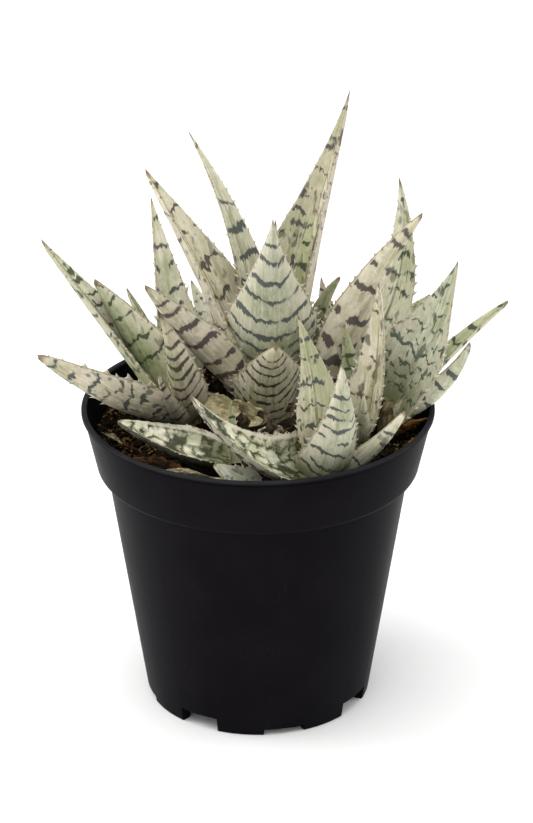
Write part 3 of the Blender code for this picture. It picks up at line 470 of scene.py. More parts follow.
def leaf_material(name, look, width, seed):
    """Leaf skin: pale ground with fine lengthwise lines, jagged dark bands, dashes and a pale margin."""
    g = Graph(name)
    share = g.add("ShaderNodeSeparateXYZ", {0: g.add("ShaderNodeUVMap", uv_map="share").outputs[0]})
    real = g.add("ShaderNodeUVMap", uv_map="millimetres").outputs[0]
    across = g.math("MULTIPLY", g.math("SUBTRACT", share.outputs[0], 0.5), 2.5)
    edge = g.math("ABSOLUTE", across)
    along = share.outputs[1]
    reach = g.add("ShaderNodeSeparateXYZ", {0: real}).outputs[0]
    reach = g.math("MULTIPLY", g.math("SUBTRACT", reach, 0.5), 200.0 / width)
    centred = lambda value: g.math("SUBTRACT", value, 0.5)

    comb = g.noise(g.stretch(real, (190.0, 9.0, 1.0), seed), 1.0, 2.0, 0.6)
    wave = g.noise(g.stretch(real, (30.0, 11.0, 1.0), seed + 3), 1.0, 2.0, 0.5)
    swell = g.noise(g.stretch(real, (38.0, 21.0, 1.0), seed + 9), 1.0, 2.5, 0.6)
    often = 0.55 + 0.45 * look.jag
    weak = g.noise(g.stretch(real, (15.0 * often, 11.0 * often, 1.0), seed + 17), 1.0, 1.0, 0.5)
    shift = g.math("ADD", g.math("MULTIPLY", centred(comb), 0.030), g.math("MULTIPLY", centred(wave), 0.075 * look.jag))
    bent = g.math("SUBTRACT", along, g.math("MULTIPLY", g.math("MULTIPLY", reach, reach), look.sag))
    place = g.math("ADD", bent, shift)
    rise = g.ramp(place, band_stops(look.bands, look.thick * 1.55))
    rise = g.math("MULTIPLY", rise, g.remap(weak, 0.36, 0.52, 0.85 - 0.35 * look.jag, 1.05))
    level = g.math("ADD", rise, g.math("MULTIPLY", centred(swell), 0.85 + 0.55 * look.jag))
    level = g.math("ADD", level, g.math("MULTIPLY", centred(comb), 0.65))
    band = g.math("MULTIPLY", g.remap(level, 0.24, 0.54), g.remap(rise, 0.0, 0.16))

    spot = g.noise(g.stretch(real, (46.0, 19.0, 1.0), seed + 5), 1.0, 1.5, 0.45)
    dash = g.remap(g.math("ADD", spot, g.math("MULTIPLY", centred(comb), 0.22)), 0.60, 0.68)
    dash = g.math("MULTIPLY", dash, look.marks)
    dark = g.math("MAXIMUM", band, dash)
    streak = g.noise(g.stretch(real, (150.0, 4.5, 1.0), seed + 1), 1.0, 3.0, 0.65)
    blotch = g.noise(g.stretch(real, (11.0, 6.0, 1.0), seed + 11), 1.0, 3.0, 0.6)
    mottle = g.noise(g.stretch(real, (75.0, 32.0, 1.0), seed + 21), 1.0, 3.0, 0.6)
    rib = g.noise(g.stretch(real, (62.0, 3.2, 1.0), seed + 23), 1.0, 2.5, 0.55)
    fleck = g.noise(g.stretch(real, (120.0, 50.0, 1.0), seed + 13), 1.0, 2.0, 0.6)
    light = tuple(min(c * 1.38 + 0.035, 0.84) for c in look.ground)
    deep = tuple(c * k for c, k in zip(look.ground, (0.60, 0.66, 0.50)))
    ground = g.mix(g.remap(blotch, 0.30, 0.62), deep, look.ground)
    ground = g.mix(g.remap(streak, 0.45, 0.75, 0.0, 0.65), ground, light)
    ground = g.mix(g.remap(streak, 0.46, 0.26, 0.0, 0.38), ground, deep)
    ground = g.mix(g.remap(mottle, 0.50, 0.75, 0.0, 0.55), ground, light)
    ground = g.mix(g.remap(mottle, 0.48, 0.28, 0.0, 0.60), ground, deep)
    rib = g.math("MULTIPLY", g.remap(rib, 0.53, 0.67, 0.0, 0.75 if look.fold < 2.0 else 0.55), g.remap(along, 0.95, 0.15, 0.35, 1.0))
    ground = g.mix(rib, ground, (0.20, 0.215, 0.10))
    ground = g.mix(g.remap(fleck, 0.54, 0.70, 0.0, 0.45), ground, tuple(c * 0.5 for c in look.ground))
    ground = g.mix(g.remap(edge, 0.40, 0.95, 0.0, 0.50), ground, (0.60, 0.55, 0.43))
    # Painted shade: on folded leaves a dark line is painted along the crease down the middle.
    if look.fold < 2.0:
        crease_shade = g.math("MULTIPLY", g.remap(edge, 0.09, 0.01, 0.0, 0.75), g.remap(mottle, 0.35, 0.55, 0.2, 1.0))
        ground = g.mix(crease_shade, ground, (0.13, 0.14, 0.05))
    if look.half:
        half = g.math("MULTIPLY", across, math.copysign(1.0, look.half))
        half = g.math("ADD", half, g.math("MULTIPLY", centred(streak), 0.2))
        ground = g.mix(g.remap(half, -0.06, 0.10, 0.0, abs(look.half)), ground, (0.20, 0.24, 0.10))
    if look.base:
        lower = g.math("ADD", along, g.math("MULTIPLY", centred(blotch), 0.5))
        ground = g.mix(g.remap(lower, 0.46, 0.12, 0.0, look.base), ground, (0.095, 0.115, 0.035))
    halo = g.remap(g.math("ADD", rise, g.math("MULTIPLY", centred(swell), 0.6)), 0.10, 0.5, 0.0, 0.34)
    ground = g.mix(halo, ground, tuple(0.5 * (a + b) for a, b in zip(look.ground, look.dark)))
    # Painted shade: the ground darkens towards the leaf's base, where the leaves crowd together.
    ground = g.mix(g.remap(along, 0.30, 0.02, 0.0, 0.6), ground, (0.17, 0.165, 0.075))
    if look.net:
        warp = g.add("ShaderNodeVectorMath", {0: real, 1: g.add("ShaderNodeCombineXYZ", {
            0: g.math("MULTIPLY", centred(swell), 0.030), 1: g.math("MULTIPLY", centred(mottle), 0.045),
        }).outputs[0]}, operation="ADD").outputs[0]
        cells = g.add("ShaderNodeTexVoronoi", {
            "Vector": g.stretch(warp, (29.0, 21.0, 1.0), seed + 7), "Scale": 1.0, "Randomness": 0.9,
        }, feature="DISTANCE_TO_EDGE").outputs[0]
        lines = g.math("ADD", cells, g.math("MULTIPLY", centred(weak), 0.55))
        lines = g.math("ADD", lines, g.math("MULTIPLY", centred(mottle), 0.30))
        soft = g.remap(lines, 0.24, 0.02, 0.0, 0.72 * look.net)
        ground = g.mix(soft, ground, (0.075, 0.082, 0.024))
        lines = g.math("ADD", lines, g.math("MULTIPLY", centred(comb), 0.15))
        dark = g.math("MAXIMUM", dark, g.remap(lines, 0.10, -0.02, 0.0, 0.95 * look.net))
    dark = g.math("MULTIPLY", dark, g.remap(edge, 0.995, 0.94))
    colour = g.mix(g.math("MULTIPLY", dark, 0.90), ground, look.dark)
    inner = 0.93 - 0.10 * look.net
    colour = g.mix(g.remap(edge, inner, inner + 0.06, 0.0, 0.55 + 0.25 * look.net), colour, (0.60, 0.57, 0.45))
    colour = g.mix(g.remap(edge, 0.975, 0.995, 0.0, 0.55), colour, (0.17, 0.125, 0.065))
    colour = g.mix(g.remap(edge, 1.0, 1.015, 0.0, 0.9), colour, (0.50, 0.46, 0.35))
    brown = g.noise(g.stretch(real, (150.0, 55.0, 1.0), seed + 19), 1.0, 1.0, 0.4)
    nick = g.math("MULTIPLY", g.remap(edge, 0.90, 0.97), g.remap(brown, 0.60, 0.68, 0.0, 0.75))
    nick = g.math("MULTIPLY", nick, g.remap(edge, 1.03, 1.0))
    colour = g.mix(nick, colour, (0.16, 0.085, 0.035))
    end = g.math("ADD", along, g.math("MULTIPLY", centred(streak), 0.05))
    colour = g.mix(g.remap(end, 0.945, 0.985, 0.0, 0.85), colour, (0.13, 0.075, 0.035))
    # Painted shade: the blade's underside is darkened towards black.
    if look.belly:
        under = g.add("ShaderNodeSeparateXYZ", {0: g.add("ShaderNodeUVMap", uv_map="face").outputs[0]}).outputs[0]
        colour = g.mix(g.remap(under, 0.2, 0.9, 0.0, look.belly), colour, (0.010, 0.010, 0.005))
    g.put(g.shader.inputs["Base Color"], colour)
    g.put(g.shader.inputs["Roughness"], g.remap(blotch, 0.2, 0.8, 0.44, 0.60))
    g.shader.inputs["Specular IOR Level"].default_value = 0.24
    g.shader.inputs["Subsurface Weight"].default_value = 0.10
    g.shader.inputs["Subsurface Radius"].default_value = (0.004, 0.004, 0.002)
    g.shader.inputs["Subsurface Scale"].default_value = 0.2
    relief = g.math("ADD", g.math("MULTIPLY", streak, 0.8), g.math("MULTIPLY", dark, -0.5))
    relief = g.math("ADD", relief, g.math("MULTIPLY", g.math("ADD", blotch, swell), 1.1))
    g.put(g.shader.inputs["Normal"], g.bump(relief, 0.0004, 0.7))
    return g.material


# The pot's sizes repeat the part's source.
POT_HEIGHT = 107.0
RIM_RADIUS = 60.0
LIP_HEIGHT = 1.5
BAND_TOP_RADIUS = 59.2
BAND_FOOT_RADIUS = 55.0
BAND_HEIGHT = 21.0
BODY_TOP_RADIUS = 51.8
BASE_RADIUS = 38.8
WALL = 1.3
FLOOR_UNDERSIDE = 2.6
FLOOR_TOP = 4.0
FOOT_RING_WIDTH = 4.2
GATE_BOSS_RADIUS = 8.0
FEET = 8
FIRST_GAP_DEG = -76.5
GAP_SPAN_DEG = 21.0
SHALLOW_GAP_HEIGHT = 2.3
DEEP_GAP_HEIGHT = 5.4
SOIL_LEVEL = 96.4


def body_radius(height):
    return BASE_RADIUS + (BODY_TOP_RADIUS - BASE_RADIUS) * height / (POT_HEIGHT - BAND_HEIGHT)


def band_radius(height):
    rise = (height - (POT_HEIGHT - BAND_HEIGHT)) / (BAND_HEIGHT - LIP_HEIGHT)
    return BAND_FOOT_RADIUS + (BAND_TOP_RADIUS - BAND_FOOT_RADIUS) * rise


def lathe(name, profile, sides, smooth=True):
    """A body turned from a profile of (radius, height) points that starts and ends on the axis."""
    points = [(0, 0, profile[0][1]), (0, 0, profile[-1][1])]
    faces = []
    rings = profile[1:-1]
    for radius, height in rings:
        for i in range(sides):
            turn = 2 * math.pi * i / sides
            points.append((radius * math.cos(turn), radius * math.sin(turn), height))
    for k in range(len(rings) - 1):
        for i in range(sides):
            a, b = 2 + k * sides + i, 2 + k * sides + (i + 1) % sides
            faces.append((a, b, b + sides, a + sides))
    last = 2 + (len(rings) - 1) * sides
    for i in range(sides):
        faces.append((0, 2 + (i + 1) % sides, 2 + i))
        faces.append((1, last + i, last + (i + 1) % sides))
    obj = mesh_piece(name, points, faces, smooth)
    outward_faces(obj)
    return obj


def rounded(corner, before, after, radius, steps=4):
    """Points that round a profile's corner."""
    corner, before, after = Vector(corner), Vector(before), Vector(after)
    start = corner + (before - corner).normalized() * radius
    end = corner + (after - corner).normalized() * radius
    result = []
    for i in range(steps + 1):
        s = i / steps
        p = start * (1 - s) ** 2 + corner * 2 * s * (1 - s) + end * s * s
        result.append((p.x, p.y))
    return result


def soft_profile(corners):
    """A profile through corners of (radius, height, rounding)."""
    result = [corners[0][:2]]
    for before, corner, after in zip(corners, corners[1:], corners[2:]):
        if corner[2]:
            result += rounded(corner[:2], before[:2], after[:2], corner[2])
        else:
            result.append(corner[:2])
    return result + [corners[-1][:2]]


def make_pot():
    """The moulded pot, with soft edges, a lip, a deep band and notched feet."""
    foot = POT_HEIGHT - BAND_HEIGHT
    lip = POT_HEIGHT - LIP_HEIGHT
    corners = [
        (0, 0, 0),
        (GATE_BOSS_RADIUS, 0, 0.3),
        (GATE_BOSS_RADIUS + 0.5, FLOOR_UNDERSIDE, 0.3),
        (BASE_RADIUS - FOOT_RING_WIDTH, FLOOR_UNDERSIDE, 0.3),
        (BASE_RADIUS - FOOT_RING_WIDTH + 0.3, 0, 0.4),
        (BASE_RADIUS - 0.1, 0, 0.6),
        (body_radius(foot - 1.2), foot - 1.2, 0.5),
        (BAND_FOOT_RADIUS - 1.3, foot - 1.1, 0.3),
        (BAND_FOOT_RADIUS - 0.15, foot - 0.2, 0.9),
        (band_radius(lip - 0.6), lip - 0.6, 0.35),
        (BAND_TOP_RADIUS - 0.35, lip - 0.15, 0.2),
        (RIM_RADIUS, lip + 0.1, 0.25),
        (RIM_RADIUS, POT_HEIGHT, 0.55),
        (RIM_RADIUS - 1.9, POT_HEIGHT, 0.55),
        (band_radius(lip - 1.0) - WALL, lip - 1.0, 0.3),
        (band_radius(foot + 1.2) - WALL, foot + 1.2, 0.8),
        (body_radius(foot) - WALL + 0.4, foot - 0.4, 0.5),
        (body_radius(foot - 2.0) - WALL, foot - 2.4, 0.5),
        (body_radius(FLOOR_TOP) - WALL, FLOOR_TOP, 1.2),
        (0, FLOOR_TOP, 0),
    ]
    profile = soft_profile(corners)
    pot = lathe("moulded_pot", profile, 176)
    cutter = foot_gaps()
    change = pot.modifiers.new("gaps", "BOOLEAN")
    change.operation = "DIFFERENCE"
    change.object = cutter
    change.solver = "EXACT"
    mesh = bpy.data.meshes.new_from_object(pot.evaluated_get(bpy.context.evaluated_depsgraph_get()))
    pot.modifiers.clear()
    pot.data = mesh
    bpy.data.objects.remove(cutter)
    mesh.polygons.foreach_set("use_smooth", [True] * len(mesh.polygons))
    mesh.set_sharp_from_angle(angle=math.radians(38))
    mesh.materials.clear()
    mesh.materials.append(pot_material())
    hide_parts("pot")


def foot_gaps():
    """The wedges cut from the pot's lower edge."""
    points, faces = [], []
    half = math.radians(GAP_SPAN_DEG / 2)
    for i in range(FEET):
        middle = math.radians(FIRST_GAP_DEG + i * 360 / FEET)
        top = DEEP_GAP_HEIGHT if i % 2 else SHALLOW_GAP_HEIGHT
        base = len(points)
        for height in (-1.0, top):
            for radius, turn in ((34.0, -half), (45.0, -half), (45.0, half), (34.0, half)):
                around = middle + turn
                points.append((radius * math.cos(around), radius * math.sin(around), height))
        for face in ((3, 2, 1, 0), (4, 5, 6, 7), (0, 1, 5, 4), (1, 2, 6, 5), (2, 3, 7, 6), (3, 0, 4, 7)):
            faces.append([base + k for k in face])
    mesh = bpy.data.meshes.new("gaps")
    mesh.from_pydata([Vector(p) * MM for p in points], [], faces)
    obj = bpy.data.objects.new("gaps", mesh)
    bpy.context.scene.collection.objects.link(obj)
    return obj


def pot_material():
    """Black moulded plastic: a fine matt grain, faint scuffs, a little dust, a rim top that is partly worn and partly a
    painted highlight, and painted shade in the groove under the lip.
    """
    g = Graph("black_plastic")
    place = g.add("ShaderNodeTexCoord").outputs["Object"]
    cloud = g.noise(place, 45.0, 4.0, 0.6)
    grain = g.noise(place, 2600.0, 2.0, 0.6)
    scuff = g.noise(g.stretch(place, (900.0, 900.0, 120.0)), 1.0, 3.0, 0.6, 0.6)
    scuff = g.remap(scuff, 0.66, 0.74)
    scuff = g.math("MULTIPLY", scuff, g.remap(g.noise(place, 60.0, 2.0), 0.5, 0.66))
    dust = g.remap(g.noise(place, 1500.0, 1.0), 0.70, 0.78)
    dust = g.math("MULTIPLY", dust, g.remap(cloud, 0.45, 0.7))
    base = g.mix(g.remap(cloud, 0.3, 0.7), (0.0046, 0.0039, 0.0052), (0.0062, 0.0054, 0.0070))
    base = g.mix(g.math("MULTIPLY", scuff, 0.35), base, (0.03, 0.03, 0.033))
    base = g.mix(g.math("MULTIPLY", dust, 0.25), base, (0.07, 0.065, 0.055))
    height = g.add("ShaderNodeSeparateXYZ", {0: place}).outputs[2]
    # Partly wear and partly a painted highlight: the top of the rim is painted a lighter grey.
    rim_wear_and_highlight = g.math("MULTIPLY", g.remap(height, 0.1060, 0.1066), g.remap(cloud, 0.25, 0.7, 0.45, 1.0))
    base = g.mix(rim_wear_and_highlight, base, (0.022, 0.0215, 0.024))
    # Painted shade: the groove under the lip is painted near black.
    groove_shade = g.math("MULTIPLY", g.remap(height, 0.1048, 0.1053), g.remap(height, 0.1059, 0.1055))
    base = g.mix(groove_shade, base, (0.0008, 0.0007, 0.0008))
    g.put(g.shader.inputs["Base Color"], base)
    rough = g.math("ADD", g.remap(cloud, 0.2, 0.8, 0.36, 0.46, smooth=False), g.math("MULTIPLY", scuff, 0.12))
    g.put(g.shader.inputs["Roughness"], rough)
    g.shader.inputs["Specular IOR Level"].default_value = 0.015
    height = g.math("ADD", g.math("MULTIPLY", grain, 0.5), g.math("MULTIPLY", cloud, 2.0))
    g.put(g.shader.inputs["Normal"], g.bump(height, 0.00008, 0.5))
    return g.material


def soil_height(x, y):
    """The soil's uneven top in millimetres."""
    p = Vector((x, y, 0.0))
    lumps = noise.fractal(p * 0.09, 1.0, 2.0, 4, noise_basis="PERLIN_ORIGINAL")
    crumbs = noise.fractal(p * 0.55 + Vector((9, 3, 1)), 1.0, 2.0, 3, noise_basis="PERLIN_ORIGINAL")
    return SOIL_LEVEL + 1.3 * lumps + 1.0 * crumbs


def make_soil():
    """The soil's body, with a lumpy top."""
    inner = [
        (0, FLOOR_TOP + 0.4), (body_radius(5) - 2.6, FLOOR_TOP + 0.4), (body_radius(6) - 1.7, 6.0),
        (body_radius(84) - 1.7, 84.0), (52.6, 86.6), (53.4, 88.0), (band_radius(94) - 1.7, 94.0),
    ]
    sides, rings = 190, 74
    points, faces = [(0, 0, inner[0][1])], []
    for radius, height in inner[1:]:
        for i in range(sides):
            turn = 2 * math.pi * i / sides
            points.append((radius * math.cos(turn), radius * math.sin(turn), height))
    edge = inner[-1][0] + 0.1
    for k in range(rings):
        radius = edge * (1 - k / rings)
        for i in range(sides):
            turn = 2 * math.pi * (i + 0.5 * (k % 2)) / sides
            x, y = radius * math.cos(turn), radius * math.sin(turn)
            points.append((x, y, soil_height(x, y)))
    points.append((0, 0, soil_height(0, 0)))
    count = len(inner) - 1 + rings
    for k in range(count - 1):
        for i in range(sides):
            a, b = 1 + k * sides + i, 1 + k * sides + (i + 1) % sides
            faces.append((a, b, b + sides, a + sides))
    last = 1 + (count - 1) * sides
    for i in range(sides):
        faces.append((0, 1 + (i + 1) % sides, 1 + i))
        faces.append((len(points) - 1, last + i, last + (i + 1) % sides))
    obj = mesh_piece("peat", points, faces)
    outward_faces(obj)
    obj.data.materials.append(soil_material("peat", (0.003, 0.0022, 0.0015), (0.014, 0.009, 0.005)))
    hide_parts("soil")


def soil_material(name, dark, light):
    """Damp peat: dark crumbs with paler fibres."""
    g = Graph(name)
    place = g.add("ShaderNodeTexCoord").outputs["Object"]
    fine = g.noise(place, 900.0, 4.0, 0.65)
    broad = g.noise(place, 160.0, 3.0, 0.6)
    colour = g.mix(g.remap(fine, 0.40, 0.72), dark, light)
    colour = g.mix(g.remap(broad, 0.55, 0.75), colour, tuple(c * 1.5 for c in light))
    g.put(g.shader.inputs["Base Color"], colour)
    g.put(g.shader.inputs["Roughness"], g.remap(fine, 0.2, 0.8, 0.75, 1.0))
    g.shader.inputs["Specular IOR Level"].default_value = 0.05
    g.put(g.shader.inputs["Normal"], g.bump(fine, 0.0006, 0.8))
    return g.material


def crumb(points, faces, centre, size, draw, flat=0.8):
    """Adds one small lump: an icosahedron with its corners moved about."""
    base = len(points)
    for corner in ICO_POINTS:
        k = size * draw.uniform(0.65, 1.2)
        x, y, z = corner
        points.append((centre[0] + x * k, centre[1] + y * k, centre[2] + z * k * flat))
    faces.extend(tuple(base + i for i in face) for face in ICO_FACES)


def icosahedron():
    """The corners and faces of a unit icosahedron."""
    bm = bmesh.new()
    bmesh.ops.create_icosphere(bm, subdivisions=1, radius=1.0)
    corners = [tuple(v.co) for v in bm.verts]
    faces = [tuple(v.index for v in f.verts) for f in bm.faces]
    bm.free()
    return corners, faces


ICO_POINTS, ICO_FACES = icosahedron()


GRIT_SPOTS = ((-48, 4), (-46, -8), (-41, -19), (-35, -27), (-50, 14), (-27, -36), (-38, -12), (-16, -44), (52, 8),
              (49, -14), (40, -28), (30, 42), (-34, 38), (0, 50), (-20, 46), (44, 24))
MOSS_SPOTS = ((53, 6), (51, -4), (47, -18), (-20, -42), (-44, -22), (10, 48), (-46, 26), (38, 36))


def make_crumbs():
    """Loose crumbs, grit and moss on the soil."""
    kinds = (
        ("peat_crumbs", 2200, (0.4, 2.0), 0.25, (0.003, 0.002, 0.0015), (0.022, 0.014, 0.007), 0),
        ("grit", 1500, (0.18, 0.80), 0.35, (0.035, 0.016, 0.005), (0.34, 0.20, 0.065), GRIT_SPOTS),
        ("pale_grit", 150, (0.25, 0.75), 0.4, (0.12, 0.085, 0.045), (0.42, 0.33, 0.19), GRIT_SPOTS),
        ("moss", 420, (0.20, 0.60), 0.4, (0.045, 0.050, 0.008), (0.23, 0.22, 0.04), MOSS_SPOTS),
    )
    for number, (name, count, sizes, sink, dark, light, spots) in enumerate(kinds):
        draw = random.Random(40 + number)
        points, faces = [], []
        for _ in range(count):
            if spots and draw.random() < 0.72:
                spot = draw.choice(spots)
                x, y = spot[0] + draw.gauss(0, 3.2), spot[1] + draw.gauss(0, 3.2)
            else:
                turn, reach = draw.uniform(0, 6.2832), 55.5 * math.sqrt(draw.random())
                x, y = reach * math.cos(turn), reach * math.sin(turn)
            size = sizes[0] + (sizes[1] - sizes[0]) * draw.random() ** 2.2
            if math.hypot(x, y) > 55.6 - size:
                continue
            crumb(points, faces, (x, y, soil_height(x, y) + size * sink), size, draw)
        obj = mesh_piece(name, points, faces, False)
        obj.data.materials.append(soil_material(name, dark, light))


def make_stems():
    """Each crown's short stem, wrapped in dry leaf bases."""
    for name, crown in CROWNS.items():
        draw = random.Random(name)
        sides, rings = 28, 14
        points, faces = [], []
        low = SOIL_LEVEL - 9
        for k in range(rings):
            s = k / (rings - 1)
            height = low + (crown.top - low) * s
            radius = crown.radius * (1.0 if s < 0.7 else 1.0 - 0.55 * ((s - 0.7) / 0.3) ** 2)
            for i in range(sides):
                turn = 2 * math.pi * i / sides
                k2 = radius * (1 + 0.05 * math.sin(5 * turn + 7 * s) + draw.uniform(-0.03, 0.03))
                points.append((crown.x + k2 * math.cos(turn), crown.y + k2 * math.sin(turn), height))
        for k in range(rings - 1):
            for i in range(sides):
                a, b = k * sides + i, k * sides + (i + 1) % sides
                faces.append((a, b, b + sides, a + sides))
        points.append((crown.x, crown.y, low))
        points.append((crown.x, crown.y, crown.top))
        last = (rings - 1) * sides
        for i in range(sides):
            faces.append((len(points) - 2, (i + 1) % sides, i))
            faces.append((len(points) - 1, last + i, last + (i + 1) % sides))
        obj = mesh_piece("crown_" + name, points, faces)
        outward_faces(obj)
        obj.data.materials.append(STEM_MATERIAL)
        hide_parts("stem_" + name)


def dry_material(name, dark, light, grain=(1200.0, 1200.0, 150.0)):
    """Dry plant tissue, streaked along its length and blotched."""
    g = Graph(name)
    place = g.add("ShaderNodeTexCoord").outputs["Object"]
    streak = g.noise(g.stretch(place, grain), 1.0, 3.0, 0.6)
    patch = g.noise(place, 260.0, 3.0, 0.6)
    colour = g.mix(g.remap(streak, 0.3, 0.7), dark, light)
    colour = g.mix(g.remap(patch, 0.50, 0.64, 0.0, 0.75), colour, tuple(c * 0.25 for c in dark))
    g.put(g.shader.inputs["Base Color"], colour)
    g.shader.inputs["Roughness"].default_value = 0.75
    g.shader.inputs["Specular IOR Level"].default_value = 0.15
    g.put(g.shader.inputs["Normal"], g.bump(streak, 0.0004, 0.7))
    return g.material


STEM_MATERIAL = dry_material("dry_stem", (0.10, 0.075, 0.035), (0.30, 0.25, 0.14))


# Dry scraps: a bent path of three points, the width, the curl across it in degrees, the twist and the stuff.
Scrap = namedtuple("Scrap", "path width curl twist stuff")
SCRAPS = {
    "dead_leaf": Scrap(((-41, -33, 100.5), (-33, -38, 103.5), (-23, -40, 101)), 6.0, 95, 58, "russet"),
    "dead_leaf_fold": Scrap(((-32, -42, 101), (-25, -45, 103.5), (-18, -45, 102)), 4.0, 80, 70, "netted"),
    "netted_scrap": Scrap(((-27, -46, 102), (-19, -49, 104), (-9, -49, 102)), 6.5, 60, 40, "netted"),
    "blotched_stub": Scrap(((3, -8, 104), (-9, -5, 108), (-25, 1, 111)), 9.0, 70, 62, "blotched"),
    "blotched_stub_low": Scrap(((1, -12, 101), (-9, -11, 105), (-18, -8, 105.5)), 8.0, 70, 55, "blotched"),
    "sheath_left": Scrap(((-7, -8, 98), (-7, -14, 104), (-5, -13.5, 113)), 9.0, 90, 10, "sheath"),
    "sheath_middle": Scrap(((1, -11, 98), (1, -17, 104), (2, -15.5, 112)), 11.0, 100, -6, "sheath"),
    "sheath_right": Scrap(((9, -8, 98), (11, -13, 104), (11, -11.5, 113)), 8.0, 90, -15, "sheath"),
    "orange_base": Scrap(((44, -10, 101), (52, -11, 104), (59, -7, 106)), 5.0, 60, 58, "orange"),
    "bark_a": Scrap(((40, -8, 98), (43, -9, 100), (46, -9, 99.5)), 2.6, 50, 30, "russet"),
    "bark_b": Scrap(((50, -16, 98), (52, -13, 100), (54, -10, 99.5)), 2.2, 50, 30, "orange"),
    "left_scrap": Scrap(((-52, -4, 98), (-50, -9, 100), (-46, -13, 98.5)), 3.0, 70, 30, "netted"),
    "left_bark": Scrap(((-47, -14, 98), (-44, -17, 99.5), (-40, -17, 98.2)), 2.0, 60, 20, "russet"),
    "rear_scrap": Scrap(((-8, 49, 98), (2, 52, 101), (12, 50, 98.5)), 5.0, 70, 20, "netted"),
}
STUFF = {
    "russet": ((0.020, 0.009, 0.004), (0.130, 0.060, 0.020)),
    "orange": ((0.10, 0.042, 0.010), (0.36, 0.19, 0.045)),
    "netted": ((0.095, 0.080, 0.040), (0.42, 0.37, 0.24)),
    "blotched": ((0.36, 0.29, 0.13), (0.76, 0.68, 0.42)),
    "sheath": ((0.030, 0.023, 0.015), (0.150, 0.115, 0.070)),
    "paper": ((0.34, 0.27, 0.17), (0.68, 0.63, 0.50)),
}


def make_scrap(name, scrap, material):
    """A thin curled scrap of dry leaf with torn edges."""
    draw = random.Random(name)
    a, b, c = (np.array(p, float) for p in scrap.path)
    steps, half = 34, 5
    phase = draw.uniform(0, 50)
    rings = []
    for k in range(steps + 1):
        s = k / steps
        place = a * (1 - s) ** 2 + b * 2 * s * (1 - s) + c * s * s
        ahead = (b - a) * (1 - s) + (c - b) * s
        ahead /= np.linalg.norm(ahead)
        side = np.cross(ahead, (0.0, 0.0, 1.0)) + np.array((1e-4, 0, 0))
        side /= np.linalg.norm(side)
        normal = np.cross(side, ahead)
        turn = math.radians(scrap.twist + 25 * math.sin(3 * s + phase))
        side, normal = side * math.cos(turn) + normal * math.sin(turn), normal * math.cos(turn) - side * math.sin(turn)
        width = scrap.width * (0.35 + 0.65 * math.sin(math.pi * min(s + 0.12, 1.0)) ** 0.6)
        width *= 1 + 0.30 * noise.noise(Vector((s * 9 + phase, 0, 0)), noise_basis="PERLIN_ORIGINAL")
        bend = math.radians(scrap.curl) / 2
        over, under = [], []
        for i in range(-half, half + 1):
            u = i / half
            torn = 1 + 0.16 * noise.noise(Vector((s * 22, u * 3 + phase, 3)), noise_basis="PERLIN_ORIGINAL") * abs(u)
            angle = u * bend
            x = width / 2 * math.sin(angle) / math.sin(bend) * torn
            y = width / 2 * (1 - math.cos(angle)) / math.sin(bend)
            y += 0.25 * noise.noise(Vector((s * 12, u * 2.5, phase)), noise_basis="PERLIN_ORIGINAL")
            over.append(place + side * x + normal * y)
            under.append(place + side * x + normal * (y - 0.22))
        rings.append(over + under[::-1])
    count = len(rings[0])
    points = [p for ring in rings for p in ring]
    faces = []
    for k in range(steps):
        for i in range(count):
            p, q = k * count + i, k * count + (i + 1) % count
            faces.append((p, q, q + count, p + count))
    for start in (0, steps * count):
        for i in range(2 * half + 1 - 1):
            faces.append((start + i, start + i + 1, start + count - 2 - i, start + count - 1 - i))
    obj = mesh_piece("scrap_" + name, points, faces)
    outward_faces(obj)
    obj.data.materials.append(material)


def make_scraps():
    """The dry scraps about the crowns, each kind with its own stuff, and a small heap of torn shreds."""
    stuff = {name: dry_material("dry_" + name, *colours, (150.0, 900.0, 900.0)) for name, colours in STUFF.items()}
    for name, scrap in SCRAPS.items():
        make_scrap(name, scrap, stuff[scrap.stuff])
    draw = random.Random(77)
    for number in range(26):
        rise = number / 25
        middle = np.array((draw.uniform(1, 12), draw.uniform(-30, -26), 100 + 10.5 * rise))
        lean = np.array((draw.uniform(-1, 1), draw.uniform(-0.7, 0.3), draw.uniform(0.1, 1.3)))
        lean *= draw.uniform(1.2, 2.6) / np.linalg.norm(lean)
        bulge = np.array((draw.uniform(-0.8, 0.8), draw.uniform(-0.8, 0.8), 0.6))
        path = (middle - lean, middle + bulge, middle + lean)
        kind = "russet" if number % 5 == 3 else "paper"
        scrap = Scrap(path, draw.uniform(0.9, 2.2), draw.uniform(60, 150), draw.uniform(-60, 90), kind)
        make_scrap("shred_%02d" % number, scrap, stuff[kind])


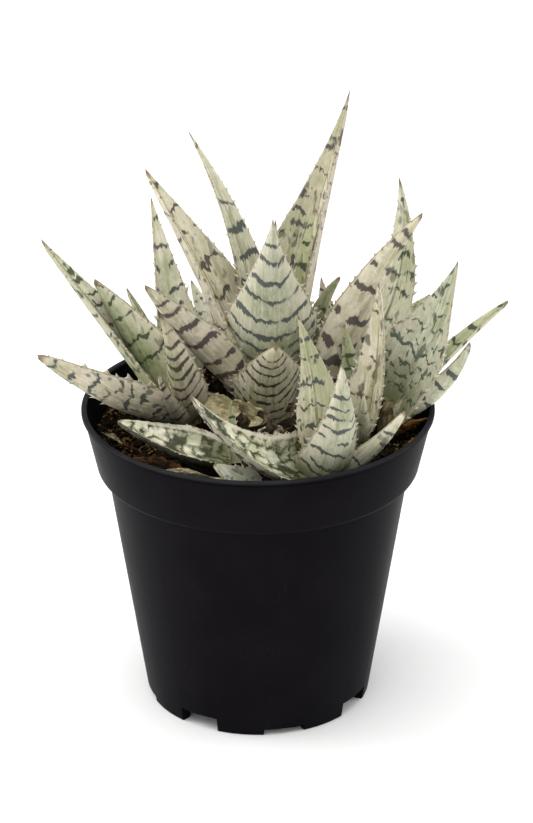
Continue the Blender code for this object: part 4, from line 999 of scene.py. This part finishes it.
def make_camera():
    """The photograph's camera: 25.2 degrees above the horizon, 1.15 m from the rim's middle."""
    rise = math.radians(25.2)
    back = Vector((0, -math.cos(rise), math.sin(rise)))
    target = Vector((0.00286, -0.00095, 0.10478))
    data = bpy.data.cameras.new("camera")
    data.lens = 148.24
    data.sensor_width = 36.0
    data.clip_start = 0.05
    camera = bpy.data.objects.new("camera", data)
    camera.location = target + back * 1.15
    camera.rotation_euler = (math.pi / 2 - rise, 0, 0)
    bpy.context.scene.collection.objects.link(camera)
    bpy.context.scene.camera = camera


def area_light(name, place, aim, size, power, colour=(1, 1, 1)):
    """A soft box that faces a point."""
    data = bpy.data.lights.new(name, "AREA")
    data.shape = "RECTANGLE"
    data.size, data.size_y = size
    data.energy = power
    data.color = colour
    light = bpy.data.objects.new(name, data)
    light.location = place
    light.rotation_euler = (Vector(place) - Vector(aim)).to_track_quat("Z", "Y").to_euler()
    bpy.context.scene.collection.objects.link(light)


def make_studio():
    """A pale floor, a large soft box overhead and a strip at each side."""
    bpy.context.scene.view_settings.view_transform = "Standard"
    world = bpy.data.worlds.new("studio")
    bpy.context.scene.world = world
    world.use_nodes = True
    world.node_tree.nodes["Background"].inputs["Color"].default_value = (1.0, 1.0, 1.0, 1.0)
    world.node_tree.nodes["Background"].inputs["Strength"].default_value = 1.0
    area_light("overhead", (-0.22, -0.22, 1.2), (0, 0, 0.1), (1.3, 1.3), 9.0, (1.0, 0.99, 0.97))
    area_light("left_strip", (-0.9, 0.12, 0.35), (0, 0, 0.08), (0.5, 0.9), 4.5)
    area_light("right_strip", (0.95, 0.18, 0.35), (0, 0, 0.08), (0.35, 0.9), 1.8)
    mesh = bpy.data.meshes.new("floor")
    mesh.from_pydata([(-20, -20, 0), (20, -20, 0), (20, 20, 0), (-20, 20, 0)], [], [(0, 1, 2, 3)])
    floor = bpy.data.objects.new("floor", mesh)
    bpy.context.scene.collection.objects.link(floor)
    g = Graph("pale_floor")
    g.shader.inputs["Base Color"].default_value = (0.93, 0.93, 0.93, 1.0)
    g.shader.inputs["Roughness"].default_value = 0.9
    mesh.materials.append(g.material)


make_camera()
make_studio()
make_pot()
make_soil()
make_crumbs()
make_stems()
make_scraps()
for leaf_name, leaf_shape in LEAVES.items():
    make_leaf(leaf_name, leaf_shape)
